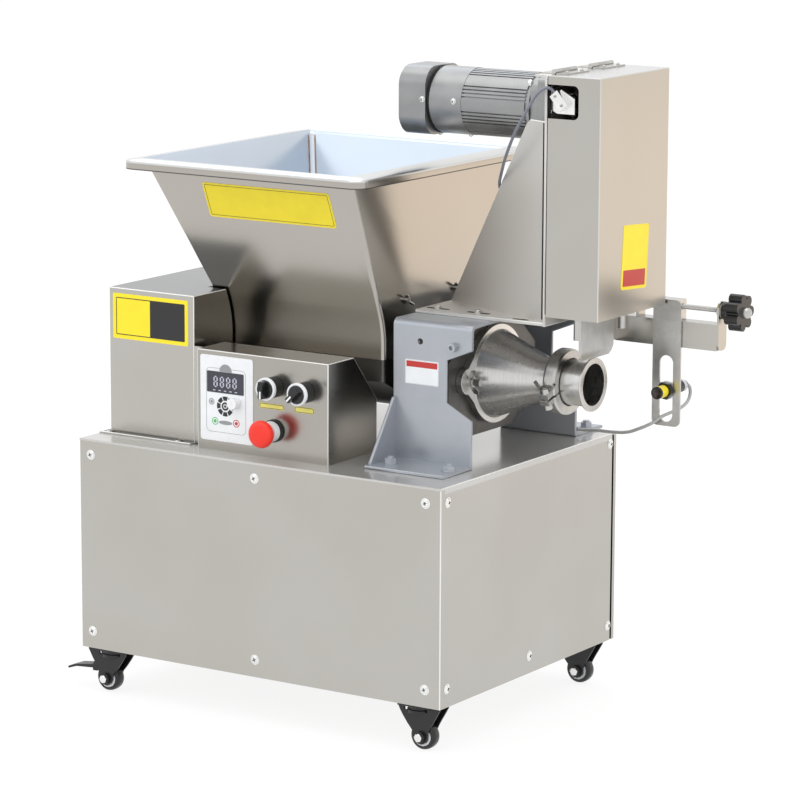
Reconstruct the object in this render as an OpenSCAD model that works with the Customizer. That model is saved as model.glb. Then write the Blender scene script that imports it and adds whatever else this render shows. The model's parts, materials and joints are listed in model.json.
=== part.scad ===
// Dough divider: an auger under a hopper pushes dough through a nozzle, and a
// crank-driven knife cuts it to length. All of it stands on a wheeled cabinet.
// Millimetres, +Z up, +X towards the outlet, -Y towards the operator.
// The origin is on the floor under the middle of the cabinet.

/* [Cabinet] */
// Width of the cabinet, left to right
cab_w = 630; // [610:5:700]
// Depth of the cabinet, front to back
cab_d = 470; // [460:5:540]
// Height of the cabinet above its casters
cab_h = 315; // [280:5:380]
// Thickness of the cabinet's sheet
sheet = 1.5; // [1:0.25:3]
// Width of the square tubes in the frame
tube = 25; // [20:1:30]
// Thickness of the top plate
top_t = 3; // [2:0.5:5]
// Height of the top plate's folded edge
skirt = 9; // [6:1:16]
// How far the front panel folds on to the sides
wrap = 10; // [6:1:20]

/* [Casters] */
// Height of a caster, floor to cabinet
caster_h = 66; // [62:1:80]
// Diameter of a wheel
wheel_d = 40; // [36:1:44]
// Width of a wheel
wheel_w = 18; // [14:1:22]
// Distance from the swivel axis to the wheel's axle
trail = 8; // [6:1:14]

/* [Feed line] */
// Offset of the auger's axis behind the middle
axis_y = 40; // [30:1:45]
// Height of the auger's axis above the top plate
axis_h = 112; // [108:1:118]
// Bore of the barrel
barrel_bore = 116; // [110:1:118]
// Wall of the barrel
barrel_wall = 6; // [4:0.5:7]
// Length of the barrel past the throat
barrel_l = 108; // [104:1:124]
// Diameter of the auger's shaft
shaft_d = 32; // [26:1:36]
// Gap between the flight and the barrel
flight_gap = 2; // [1:0.25:4]
// Pitch of the flight
pitch = 72; // [60:1:90]

/* [Hopper] */
// Height of the rim above the top plate
rim_h = 413; // [390:1:440]
// Left edge of the mouth
rim_x0 = -239; // [-260:1:-220]
// Right edge of the mouth
rim_x1 = 120; // [117:1:124]
// Half depth of the mouth
rim_half = 213; // [195:1:225]
// Left end of the throat
throat_x = -165; // [-170:1:-160]
// Length of the throat
throat_l = 283; // [279:1:286]
// Half depth of the throat
throat_half = 118; // [114:1:122]
// Height of the bend above the top plate
bend_h = 180; // [176:1:188]
// Sheet of the hopper
hop_t = 2; // [1.5:0.25:3]
// Width of the rim's flange at the left and right
lip_w = 30; // [22:1:34]
// Width of the rim's flange at the front and back
lip_d = 18; // [12:1:26]
// Height of the rim's edge
lip_h = 13; // [8:1:18]

/* [Outlet] */
// Thickness of the cone's flange
cone_flange_t = 10; // [8:0.5:14]
// Length of the taper
taper_l = 79; // [70:1:90]
// Length of the cone's straight end
cone_end_l = 32; // [30:1:36]
// Bore of the nozzle
nozzle_bore = 60.3; // [54:0.1:61]
// Outer diameter of the nozzle's tube
nozzle_od = 65; // [64:0.5:66]
// Diameter of the clamped ferrules
ferrule_d = 77.5; // [76:0.5:79]
// Length of the nozzle
nozzle_l = 46.5; // [44:0.5:52]

/* [Brackets] */
// Half distance between the brackets' outer faces
brk_half = 147; // [145:1:150]
// Gap between the barrel's flange and the top of the brackets
brk_gap = 10; // [8:1:20]
// Sheet of the brackets
brk_t = 5; // [4:0.5:6]
// Depth of a bracket's foot
foot_d = 74; // [64:1:76]

/* [Cutter] */
// Gap between the hopper's rim and the motor over it
motor_gap = 40.5; // [30:0.5:60]
// Radius of the crank
crank_r = 36; // [30:1:37]
// Half width of the cover
cover_half = 96; // [94:1:100]
// Depth of the cover
cover_l = 84; // [80:1:96]
// Sheet of the cover
cover_t = 1.5; // [1:0.25:2.5]
// Width of the knife
knife_w = 90; // [80:1:96]
// Thickness of the knife
knife_t = 5; // [3:0.5:5]
// Diameter of the guide rods
rod_d = 12; // [10:0.5:14]
// Diameter of the motor
motor_d = 97; // [88:1:98]
// Length of the motor's ribbed part
rib_l = 111; // [100:1:116]

/* [Control box] */
// Width of the control box
box_w = 229; // [220:1:240]
// Height of the control box
box_h = 146; // [140:1:148]
// Depth of the control box
box_d = 124.5; // [122:0.5:126]
// How far the box reaches in under the hopper's throat
box_under = 8.5; // [4:0.5:12]

/* [Sensor arm] */
// Length of the arm
arm_l = 165.5; // [160:0.5:190]
// Height of the arm's bar
arm_h = 38; // [32:1:40]
// Width of the sensor plate
plate_w = 45.5; // [40:0.5:50]
// Diameter of the photo sensor
sensor_d = 18; // [16:0.5:19]
// Diameter of the adjusting screw
screw_d = 8; // [6:0.5:10]
// Diameter of the star knob
knob_d = 54; // [46:1:58]

/* [Hidden] */
$fn = 48;
e = 0.01;
fit = 0.05;
T = caster_h + cab_h;
AY = axis_y;
AZ = T + axis_h;
hw = cab_w / 2;
hd = cab_d / 2;
throat_x1 = throat_x + throat_l;
barrel_end = throat_x1 + barrel_l;
bore_r = barrel_bore / 2;
barrel_r = bore_r + barrel_wall;
shaft_r = shaft_d / 2;
// feed housing, inside the hopper's throat
neck_gap = 0.5;
neck_x0 = throat_x + hop_t + neck_gap;
neck_x1 = throat_x1 - hop_t - neck_gap;
neck_half = throat_half - hop_t - neck_gap;
throat_r = 8;
neck_r = throat_r - hop_t - neck_gap;
// half the height of the rolled bend, and the screws above it
bend_r = 26;
wing_u = 66;
wing_z = T + bend_h + 38;
skirt_h = axis_h + 24;
barrel_flange_t = 12;
// outlet
cone_x = barrel_end;
joint_x = cone_x + cone_flange_t + taper_l + cone_end_l;
gasket_t = 2;
nozzle_x = joint_x + gasket_t;
nozzle_end = nozzle_x + nozzle_l;
bore_o = nozzle_bore / 2;
tube_r = nozzle_od / 2;
ferrule_r = ferrule_d / 2;
ear_u = 80;
clamp_a = 18;
// brackets, over the barrel's flange
flange_h = 84;
brk_h = axis_h + flange_h + brk_gap;
brk_x0 = barrel_end - 74;
brk_x1 = barrel_end + 57;
// cutter head
motor_h = rim_h + motor_gap + motor_d / 2 + 1;
base_t = 5;
knife_gap = 0.5;
knife_x = nozzle_end + knife_gap;
slide_x = knife_x + knife_t;
slide_t = 7;
mount_t = 4;
mount_x = nozzle_end - 29.5;
mount_x1 = mount_x + mount_t;
mount_half = cover_half - 1;
cover_x = mount_x1 + 2;
cover_z0 = T + brk_h + 14.5;
cover_z1 = T + motor_h + 55.5;
rod_r = rod_d / 2;
rod_x = slide_x + slide_t / 2;
rod_u = 62;
MZ = T + motor_h;
pin_r = 5;
pin_z = MZ + crank_r;
slot_half_h = pin_r + 0.22 * crank_r;
slot_half_l = crank_r + pin_r + 1;
gbx_l = 56;
gbx_w = 90;
smooth_l = 56;
fan_l = 47;
crank_shaft_r = 9;
disc_x = mount_x1 + 6;
disc_t = 10;
disc_r = crank_r + 8;
flag_r = disc_r + 14;
hinge_x = mount_x1 + 1;
hinge_r = 3.5;
hinge_z = cover_z1 + hinge_r;
hinge_u = 50;
hinge_l = 60;
// drive
red_x0 = throat_x - 97;
red_x1 = throat_x - 21;
red_x = (red_x0 + red_x1) / 2;
drive_motor_r = 55;
drive_motor_l = 190;
drive_fan_l = 35;
drv_x0 = throat_x - 137;
drv_x1 = throat_x + 17;
drv_y0 = AY - 217;
drv_y1 = AY + 150;
drv_h = bend_h + 38;
drv_gap = 4;
// control box
box_x0 = throat_x + 35;
box_x1 = box_x0 + box_w;
box_y0 = AY - throat_half + box_under - box_d;
face_y = box_y0;
// controls: x from the box's left side, height above the top plate
sel_a = [box_x0 + 137, T + 104];
sel_b = [box_x0 + 191, T + 102];
stop_at = [box_x0 + 135, T + 40];
pot_at = [box_x0 + 70, T + 73.5];
pad_x = box_x0 + 6;
pad_w = 93;
pad_z = T + 14;
pad_h = 125;
film_t = 0.6;
// sensor arm, beyond the far wall of the cover
arm_y0 = AY + cover_half + 7;
arm_w = 24;
arm_z0 = T + brk_h - 47;
arm_z1 = arm_z0 + arm_h;
arm_x1 = mount_x1 + arm_l;
end_t = 3;
screw_y = arm_y0 + arm_w / 2;
screw_z = arm_z1 + 19.5;
screw_r = screw_d / 2;
splate_t = 3;
splate_y = arm_y0 - 0.5 - splate_t;
splate_x = mount_x1 + 87;
sensor_r = sensor_d / 2;
sensor_z = AZ - 17;
slot_w = sensor_d + 4;
knob_x = arm_x1 + end_t + 2.5;
knob_r = knob_d / 2;
// casters
caster_x = hw - 45;
caster_y = hd - 21;
wheel_r = wheel_d / 2;
wheel_z = wheel_r;
axle_r = 4;
fork_t = 2.5;
fork_y = wheel_w / 2 + 1.2;
fork_z = caster_h - 13;
// cords
cord_r = 2.5;

// boxes and rods given by their ends
module box(x0, x1, y0, y1, z0, z1)
    translate([x0, y0, z0]) cube([x1 - x0, y1 - y0, z1 - z0]);
module xcyl(r, x0, x1, y, z)
    translate([x0, y, z]) rotate([0, 90, 0]) cylinder(r = r, h = x1 - x0);
module ycyl(r, y0, y1, x, z)
    translate([x, y0, z]) rotate([-90, 0, 0]) cylinder(r = r, h = y1 - y0);
module zcyl(r, z0, z1, x, y)
    translate([x, y, z0]) cylinder(r = r, h = z1 - z0);
// a profile in (y, z) drawn out along X, and one in (x, z) drawn out along Y
module along_x(x0, x1)
    translate([x0, 0, 0]) rotate([90, 0, 90]) linear_extrude(x1 - x0) children();
module along_y(y0, y1)
    translate([0, y1, 0]) rotate([90, 0, 0]) linear_extrude(y1 - y0) children();
// a profile of [radius, x] turned about an axis along X
module turned_x(y, z)
    translate([0, y, z]) rotate([0, 90, 0]) rotate_extrude() children();
module turned_y(x, z)
    translate([x, 0, z]) rotate([-90, 0, 0]) rotate_extrude() children();
// flat rectangle with round corners
module rrect(x0, x1, y0, y1, r) {
    translate([x0 + r, y0]) square([x1 - x0 - 2 * r, y1 - y0]);
    translate([x0, y0 + r]) square([x1 - x0, y1 - y0 - 2 * r]);
    for (x = [x0 + r, x1 - r], y = [y0 + r, y1 - r])
        translate([x, y]) circle(r);
}
// two-eared flange: a disc of radius a with round ears of radius b at +-u
module eared(a, b, u) {
    k = 0.45 * a;
    m = sqrt(a * a - k * k) - 0.5;
    circle(a);
    for (s = [-1, 1]) translate([s * u, 0]) circle(b);
    polygon([[-u, b - 0.3], [-k, m], [k, m], [u, b - 0.3],
             [u, 0.3 - b], [k, -m], [-k, -m], [-u, 0.3 - b]]);
}
module mirrored_y() {
    children();
    translate([0, 2 * AY, 0]) mirror([0, 1, 0]) children();
}

// closed tubes and lofts
function ring_pts(x0, x1, half, r, z, n) =
    [for (c = [0:3], k = [0:n])
        let (a = 90 * c + 90 * k / n,
             cx = (c == 0 || c == 3) ? x1 - r : x0 + r,
             cy = (c < 2) ? AY + half - r : AY - half + r)
        [cx + r * cos(a), cy + r * sin(a), z]];
function wall_faces(rings, m) =
    [for (i = [0:rings - 1], j = [0:m - 1], s = [0, 1])
        let (a = i * m + j, b = i * m + (j + 1) % m,
             i2 = (i + 1) % rings,
             c = i2 * m + (j + 1) % m, d = i2 * m + j)
        s == 0 ? [a, d, c] : [a, c, b]];
function flat(l) = [for (a = l, b = a) b];
function unit(v) = v / norm(v);
function bent(p, i, t) =
    let (n = len(p), a = p[max(i - 1, 0)], b = p[i],
         c = p[min(i + 1, n - 1)], d = p[min(i + 2, n - 1)])
    0.5 * (2 * b + (c - a) * t + (2 * a - 5 * b + 4 * c - d) * t * t
        + (3 * b - a - 3 * c + d) * t * t * t);
function route(p, k) =
    [for (i = [0:len(p) - 2], j = [0:k - 1]) bent(p, i, j / k), p[len(p) - 1]];
module cord(points, r, ref, sides, k) {
    q = route(points, k);
    n = len(q);
    rings = [for (i = [0:n - 1])
        let (t = unit(q[min(i + 1, n - 1)] - q[max(i - 1, 0)]),
             u = unit(cross(t, ref)), v = cross(t, u))
        [for (j = [0:sides - 1])
            q[i] + r * cos(360 * j / sides) * u + r * sin(360 * j / sides) * v]];
    skin = [for (i = [0:n - 2], j = [0:sides - 1], s = [0, 1])
        let (a = i * sides + j, b = i * sides + (j + 1) % sides,
             c = a + sides, d = b + sides)
        s == 0 ? [a, d, c] : [a, b, d]];
    ends = [[for (j = [0:sides - 1]) sides - 1 - j],
            [for (j = [0:sides - 1]) (n - 1) * sides + j]];
    polyhedron(points = flat(rings), faces = concat(skin, ends));
}

// CABINET
module base_frame() color("Gainsboro") {
    w = hw - sheet;
    y0 = sheet - hd;
    for (z = [caster_h, T - top_t - tube])
        difference() {
            box(-w, w, y0, hd, z, z + tube);
            box(tube - w, w - tube, y0 + tube, hd - tube, z - 1, z + tube + 1);
        }
    for (x = [-w, w - tube], y = [y0, hd - tube])
        box(x, x + tube, y, y + tube, caster_h + tube - 1, T - top_t - tube + 1);
    box(tube - w - 1, w - tube + 1, y0 + tube - 1, hd - tube + 1, caster_h, caster_h + 2);
}
module top_plate() color("WhiteSmoke") {
    difference() {
        box(-hw, hw, -hd, hd, T - top_t, T);
        zcyl(drive_motor_r + 4, T - top_t - 1, T + 1, red_x, AY);
    }
    for (x = [-hw, hw - sheet])
        box(x, x + sheet, wrap - hd, hd, T - skirt, T - top_t + e);
}
module front_panel() color("Silver") {
    box(-hw, hw, -hd, sheet - hd, caster_h, T - top_t);
    for (x = [-hw, hw - sheet])
        box(x, x + sheet, -hd, wrap - hd, caster_h, T - top_t);
}
module side_panels() color("Silver")
    for (x = [-hw, hw - sheet])
        box(x, x + sheet, wrap - hd, hd, caster_h, T - skirt);
module rear_panel() color("Silver") {
    gap = 5;
    deep = 8;
    difference() {
        box(-hw, hw, hd + gap, hd + gap + deep, caster_h, T - top_t);
        box(sheet - hw, hw - sheet, hd + gap - 1, hd + gap + deep - sheet,
            caster_h + sheet, T - top_t - sheet);
    }
    for (x = [18 - hw, 0, hw - 18], z = [caster_h + tube / 2, T - top_t - tube / 2])
        ycyl(6, hd, hd + gap + deep - sheet + e, x, z);
}

// CASTERS
module caster_plates() color("DimGray")
    for (x = [-caster_x, caster_x], y = [-caster_y, caster_y]) {
        box(x - 26, x + 26, y - 21, y + 21, caster_h - 2.5, caster_h);
        zcyl(17, caster_h - 8, caster_h - 2.5 + e, x, y);
        zcyl(6, fork_z - 3, caster_h - 8 + e, x, y);
    }
module fork() {
    h = caster_h - 8 - fit * 4;
    difference() {
        union() {
            zcyl(19, fork_z, h, 0, 0);
            box(-4, 14, -fork_y - fork_t, fork_y + fork_t, fork_z, fork_z + 3);
        }
        zcyl(6 + fit, fork_z - 1, h + 1, 0, 0);
    }
    for (s = [-1, 1])
        along_y(s > 0 ? fork_y : -fork_y - fork_t, s > 0 ? fork_y + fork_t : -fork_y) {
            polygon([[-17, fork_z + 3], [21, fork_z + 3], [trail + 11, wheel_z + 1],
                     [trail - 11, wheel_z - 1]]);
            translate([trail, wheel_z]) circle(11);
        }
    for (s = [-1, 1])
        box(-17, 21, s > 0 ? fork_y - 3 : -fork_y - fork_t,
            s > 0 ? fork_y + fork_t : 3 - fork_y, fork_z, fork_z + 3);
    ycyl(axle_r, -fork_y - fork_t, fork_y + fork_t, trail, wheel_z);
    for (s = [-1, 1])
        ycyl(8, s > 0 ? fork_y + fork_t - e : -fork_y - fork_t - 4,
            s > 0 ? fork_y + fork_t + 4 : -fork_y - fork_t + e, trail, wheel_z);
}
module wheel() {
    w = wheel_w / 2;
    turned_y(trail, wheel_z)
        polygon([[axle_r + fit, -w - 0.9], [8, -w - 0.9], [8, 3 - w], [wheel_r - 6, 3 - w],
                 [wheel_r - 6, -w], [wheel_r - 2, -w], [wheel_r, 2 - w],
                 [wheel_r, w - 2], [wheel_r - 2, w], [wheel_r - 6, w],
                 [wheel_r - 6, w - 3], [8, w - 3], [8, w + 0.9], [axle_r + fit, w + 0.9]]);
}
// left casters trail to the left, right ones to the right
module at_caster(sx, sy)
    translate([sx * caster_x, sy * caster_y, 0])
        mirror([sx < 0 ? 1 : 0, 0, 0]) children();
module pedal_arm() {
    for (s = [-1, 1])
        difference() {
            along_y(s > 0 ? fork_y : -fork_y - fork_t,
                    s > 0 ? fork_y + fork_t : -fork_y)
                polygon([[12, fork_z + 3], [22, fork_z + 3], [32, wheel_z + 18],
                         [32, wheel_z + 9], [24, wheel_z + 9], [12, fork_z - 6]]);
            ycyl(3 + fit, -fork_y - fork_t - 1, fork_y + fork_t + 1, 27.5, wheel_z + 14);
        }
}
module brake_pedal() {
    y = fork_y - 0.3;
    y2 = fork_y + fork_t;
    along_y(-y, y)
        polygon([[25, wheel_z + 16.5], [31, wheel_z + 17.5], [66, wheel_z + 13],
                 [81, wheel_z + 7.5], [80, wheel_z + 4.5], [65, wheel_z + 9.5],
                 [31, wheel_z + 12], [25, wheel_z + 13.5]]);
    ycyl(3, -y2, y2, 27.5, wheel_z + 14);
}
module fork_fl() color("#202122") at_caster(-1, -1) {
    fork();
    pedal_arm();
}
module fork_rl() color("#202122") at_caster(-1, 1) {
    fork();
    pedal_arm();
}
module fork_fr() color("#202122") at_caster(1, -1) fork();
module fork_rr() color("#202122") at_caster(1, 1) fork();
module wheel_fl() color("#2c2d2f") at_caster(-1, -1) wheel();
module wheel_rl() color("#2c2d2f") at_caster(-1, 1) wheel();
module wheel_fr() color("#2c2d2f") at_caster(1, -1) wheel();
module wheel_rr() color("#2c2d2f") at_caster(1, 1) wheel();
module pedal_fl() color("#26272a") at_caster(-1, -1) brake_pedal();
module pedal_rl() color("#26272a") at_caster(-1, 1) brake_pedal();

// DRIVE, under its cover at the left
module reducer() color("SlateGray") {
    difference() {
        union() {
            box(red_x0, red_x1, AY - 52, AY + 52, AZ - 58, AZ + 58);
            xcyl(44, red_x0 - 6, red_x1 + 6, AY, AZ);
            zcyl(drive_motor_r, T, AZ - 58 + e, red_x, AY);
            box(red_x0, red_x1, AY - 82, AY + 82, T, T + 10);
            for (y = [AY - 78, AY + 70])
                box(red_x0 + 8, red_x1 - 8, y, y + 8, T + 10 - e, AZ - 40);
            for (y = [AY - 78, AY + 52 - e])
                box(red_x0 + 8, red_x1 - 8, y, y + 26, AZ - 48, AZ - 40);
        }
        xcyl(shaft_r + fit, red_x0 - 7, red_x1 + 7, AY, AZ);
    }
}
module main_motor() color("SteelBlue") {
    zcyl(drive_motor_r, T - drive_motor_l, T, red_x, AY);
    zcyl(drive_motor_r - 3, T - drive_motor_l - drive_fan_l, T - drive_motor_l + e,
        red_x, AY);
    box(red_x + 20, red_x + drive_motor_r + 22, AY - 32, AY + 32, T - 130, T - 60);
}
// outer outline of the hopper, level by level: [left, right, half depth, height]
function hop_at(z) =
    let (t = (z - bend_h) / (rim_h - bend_h))
    [throat_x + t * (rim_x0 - hop_t - throat_x), throat_x1 + t * (rim_x1 + hop_t - throat_x1),
     throat_half + t * (rim_half + hop_t - throat_half), z];
hop_levels = concat(
    [[throat_x, throat_x1, throat_half, skirt_h]],
    [for (k = [0:4])
        let (t = k / 4,
             a = [throat_x, throat_x1, throat_half, bend_h - bend_r],
             b = [throat_x, throat_x1, throat_half, bend_h])
        a * (1 - t) * (1 - t) + b * 2 * t * (1 - t) + hop_at(bend_h + bend_r) * t * t]);
module throat_block(g) {
    box(throat_x - g, throat_x1 + g, AY - throat_half - g, AY + throat_half + g,
        T - 1, T + skirt_h + 1);
    q = concat(hop_levels, [hop_at(rim_h)]);
    n = len(q) - 1;
    polyhedron(
        points = [for (p = q, c = [[0, -1], [1, -1], [1, 1], [0, 1]])
            [c[0] == 0 ? p[0] - g : p[1] + g, AY + c[1] * (p[2] + g), T + p[3]]],
        faces = concat([[0, 1, 2, 3], [4 * n + 3, 4 * n + 2, 4 * n + 1, 4 * n]],
            [for (i = [0:n - 1], j = [0:3])
                [4 * i + j, 4 * i + 4 + j, 4 * i + 4 + (j + 1) % 4, 4 * i + (j + 1) % 4]]));
}
module drive_cover() color("LightGray")
    difference() {
        union() {
            difference() {
                box(drv_x0, drv_x1, drv_y0, drv_y1, T, T + drv_h);
                box(drv_x0 + sheet, drv_x1 - sheet, drv_y0 + sheet, drv_y1 - sheet,
                    T - 1, T + drv_h - sheet);
            }
            difference() {
                box(drv_x0 - 12, drv_x1, drv_y0 - 12, drv_y1 + 12, T, T + sheet);
                box(drv_x0 + sheet, drv_x1 + 1, drv_y0 + sheet, drv_y1 - sheet,
                    T - 1, T + sheet + 1);
            }
        }
        throat_block(drv_gap);
    }
module shaft_seal() color("DarkSlateGray")
    difference() {
        xcyl(22, neck_x0 - 14, neck_x0, AY, AZ);
        xcyl(shaft_r + fit, neck_x0 - 15, neck_x0 + 1, AY, AZ);
    }

// FEED LINE
module feed_section(g) {
    k = 0.7071;
    r = barrel_r - g;
    n = neck_half - g;
    z1 = AZ - 9 + 0.63 * g;
    top = T + bend_h - bend_r - 1 + (g > 0 ? 90 : 0);
    translate([AY, AZ]) circle(r);
    polygon([[AY - n, top], [AY - n, z1], [AY - k * r, AZ - k * r],
             [AY + k * r, AZ - k * r], [AY + n, z1], [AY + n, top]]);
}
module neck(g)
    intersection() {
        along_x(neck_x0 + g, neck_x1 - g) feed_section(g);
        translate([0, 0, T - 1]) linear_extrude(bend_h + 80)
            rrect(neck_x0 + g, neck_x1 - g, AY - neck_half + g, AY + neck_half - g,
                max(neck_r - g, 1));
    }
module feed_barrel() color("Silver")
    difference() {
        union() {
            neck(0);
            xcyl(barrel_r, neck_x1 - e, barrel_end, AY, AZ);
            along_x(barrel_end - barrel_flange_t, barrel_end) translate([AY, AZ])
                polygon([[-118, 30], [-56, flange_h], [56, flange_h], [118, 30],
                         [118, -30], [56, -flange_h], [-56, -flange_h], [-118, -30]]);
            box(neck_x1 - barrel_wall, neck_x1, AY - wing_u - 18, AY + wing_u + 18,
                T + bend_h - bend_r - 10, wing_z + 18);
            for (s = [-1, 1])
                box(barrel_end - 46, barrel_end - 16,
                    s > 0 ? AY + bore_r + 1 : AY - brk_half + brk_t,
                    s > 0 ? AY + brk_half - brk_t : AY - bore_r - 1, AZ - 14, AZ + 14);
            box(throat_x + 96, throat_x + 104, AY - 40, AY + 40, T, AZ - bore_r - 1);
            box(throat_x + 70, throat_x + 130, AY - 40, AY + 40, T, T + 6);
        }
        neck(barrel_wall);
        xcyl(bore_r, neck_x1 - barrel_wall - 1, barrel_end + 1, AY, AZ);
        xcyl(shaft_r + 1, neck_x0 - 1, neck_x0 + barrel_wall + 1, AY, AZ);
        for (s = [-1, 1]) {
            xcyl(4 + fit, neck_x1 - barrel_wall - 1, neck_x1 + 1, AY + s * wing_u, wing_z);
            xcyl(5 + fit, barrel_end - barrel_flange_t - 1, barrel_end + 1, AY + s * ear_u, AZ);
        }
    }
// the flight: a strip wound about the shaft
module flight(r0, r1, x0, x1, t) {
    step = 15;
    n = ceil(360 * (x1 - x0 - t) / pitch / step);
    q = [for (i = [0:n])
        let (a = i * step, x = x0 + (x1 - x0 - t) * i / n)
        for (p = [[r0, 0], [r1, 0], [r1, t], [r0, t]])
            [x + p[1], p[0] * cos(a), p[0] * sin(a)]];
    skin = [for (i = [0:n - 1], j = [0:3], s = [0, 1])
        let (a = 4 * i + j, b = 4 * i + (j + 1) % 4)
        s == 0 ? [a, b + 4, a + 4] : [a, b, b + 4]];
    translate([0, AY, AZ])
        polyhedron(points = q, faces = concat(skin, [[3, 2, 1, 0],
            [4 * n, 4 * n + 1, 4 * n + 2, 4 * n + 3]]));
}
module auger() color("Gainsboro") {
    xcyl(shaft_r, red_x0 - 8, barrel_end - 6, AY, AZ);
    flight(shaft_r - 1, bore_r - flight_gap, neck_x0 + barrel_wall + 3,
        barrel_end - 10, 5);
}

// HOPPER, one folded and welded sheet
module hopper() color("WhiteSmoke") {
    n = 3;
    m = 4 * (n + 1);
    r1 = 6;
    lip_r = 16;
    drop = 4;
    // levels of the rim: [outwards, deeper, height]
    rim = [[lip_w - hop_t, lip_d - hop_t, -drop - hop_t],
           [lip_w - hop_t, lip_d - hop_t, -drop - lip_h],
           [lip_w, lip_d, -drop - lip_h], [lip_w, lip_d, -drop]];
    rings = concat(
        [for (p = hop_levels) ring_pts(p[0], p[1], p[2], throat_r, T + p[3], n)],
        [ring_pts(rim_x0 - hop_t, rim_x1 + hop_t, rim_half + hop_t, r1 + hop_t,
            T + rim_h - hop_t - 0.4, n)],
        [for (p = rim)
            ring_pts(rim_x0 - p[0], rim_x1 + p[0], rim_half + p[1], lip_r, T + rim_h + p[2], n)],
        [ring_pts(rim_x0, rim_x1, rim_half, r1, T + rim_h, n)],
        [for (k = [len(hop_levels) - 1:-1:0])
            let (p = hop_levels[k])
            ring_pts(p[0] + hop_t, p[1] - hop_t, p[2] - hop_t, throat_r - hop_t,
                T + p[3] + (k > 1 ? 0.6 : 0), n)]);
    difference() {
        polyhedron(points = flat(rings), faces = wall_faces(len(rings), m));
        for (s = [-1, 1])
            xcyl(4.3, throat_x1 - 10, throat_x1 + 12, AY + s * wing_u, wing_z);
        // the skirt sits over the barrel
        xcyl(barrel_r + 0.5, throat_x1 - 10, throat_x1 + 1, AY, AZ);
    }
}
module wings(x, y, z, a, d, k)
    translate([x, y, z]) rotate([a, 0, 0]) scale(k) {
        xcyl(d, 0, 11, 0, 0);
        for (s = [-1, 1])
            along_y(-1.5, 1.5)
                polygon([[1, 0], [1, s * (d + 1)], [9, s * (d + 13)], [17, s * (d + 14)],
                         [19, s * (d + 8)], [11, s * (d - 1)], [11, 0]]);
    }
module wing_screws() color("Gainsboro")
    for (s = [-1, 1]) {
        x = hop_at(wing_z - T)[1] + 0.4;
        xcyl(4, neck_x1 - barrel_wall, x + e, AY + s * wing_u, wing_z);
        wings(x, AY + s * wing_u, wing_z, 45, 8, 0.55);
    }

// OUTLET
module cone() color("Silver") {
    x1 = cone_x + cone_flange_t;
    x2 = x1 + taper_l;
    difference() {
        union() {
            along_x(cone_x, x1) translate([AY, AZ]) eared(bore_r + 14, 19, ear_u);
            turned_x(AY, AZ)
                polygon([[0, x1 - 1], [bore_r + 6, x1 - 1], [bore_r + 6, x1], [tube_r, x2],
                         [tube_r, joint_x - 5], [ferrule_r, joint_x - 2.8],
                         [ferrule_r, joint_x], [0, joint_x]]);
        }
        turned_x(AY, AZ)
            polygon([[0, cone_x - 1], [bore_r, cone_x - 1], [bore_r, x1], [bore_o, x2],
                     [bore_o, joint_x + 1], [0, joint_x + 1]]);
        for (s = [-1, 1])
            xcyl(5.5, cone_x - 1, x1 + 1, AY + s * ear_u, AZ);
    }
}
module wing_nuts() color("Gainsboro")
    for (s = [-1, 1]) {
        xcyl(5, barrel_end - barrel_flange_t, cone_x + cone_flange_t + 20, AY + s * ear_u, AZ);
        wings(cone_x + cone_flange_t, AY + s * ear_u, AZ, s * 25 + 40, 9, 0.8);
    }
module clamp_gasket() color("#303234")
    difference() {
        xcyl(ferrule_r - 1, joint_x, nozzle_x, AY, AZ);
        xcyl(bore_o, joint_x - 1, nozzle_x + 1, AY, AZ);
    }
module nozzle() color("Gainsboro")
    turned_x(AY, AZ)
        polygon([[bore_o, nozzle_x], [ferrule_r, nozzle_x], [ferrule_r, nozzle_x + 2.8],
                 [tube_r, nozzle_x + 5], [tube_r, nozzle_end - 5],
                 [ferrule_r, nozzle_end - 2.8], [ferrule_r, nozzle_end], [bore_o, nozzle_end]]);
module clamp() color("Silver") {
    c = joint_x + gasket_t / 2;
    h = gasket_t / 2 + 2.9;
    difference() {
        union() {
            turned_x(AY, AZ)
                polygon([[ferrule_r + 0.2, c - h], [ferrule_r + 0.2, c + h],
                         [tube_r + 2, c + h + 2], [tube_r + 2, c + 10], [ferrule_r + 7, c + 10],
                         [ferrule_r + 9, c + 7], [ferrule_r + 9, c - 7], [ferrule_r + 7, c - 10],
                         [tube_r + 2, c - 10], [tube_r + 2, c - h - 2]]);
            for (s = [0, 180])
                translate([c, AY, AZ]) rotate([clamp_a + s, 0, 0])
                    box(-8, 8, -ferrule_r - 22, -ferrule_r - 7, -9, 9);
        }
        translate([c, AY, AZ]) rotate([clamp_a, 0, 0])
            box(-20, 20, -90, 90, -1.5, 1.5);
        translate([c, AY, AZ]) rotate([clamp_a, 0, 0])
            zcyl(4, -20, 20, 0, -ferrule_r - 15);
    }
}
module clamp_bolt() color("Gainsboro")
    translate([joint_x + gasket_t / 2, AY, AZ]) rotate([clamp_a, 0, 0]) {
        zcyl(3.9, -16, 18, 0, -ferrule_r - 15);
        zcyl(7, -16, -9, 0, -ferrule_r - 15);
        zcyl(7.5, 9, 17, 0, -ferrule_r - 15);
        for (s = [-1, 1])
            translate([s * 6, -ferrule_r - 15 - 2, 10]) rotate([0, s * 35, 0])
                cube([3, 4, 18]);
        box(-8.5, 8.5, ferrule_r + 11, ferrule_r + 18, -1.5, 1.5);
    }

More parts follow.
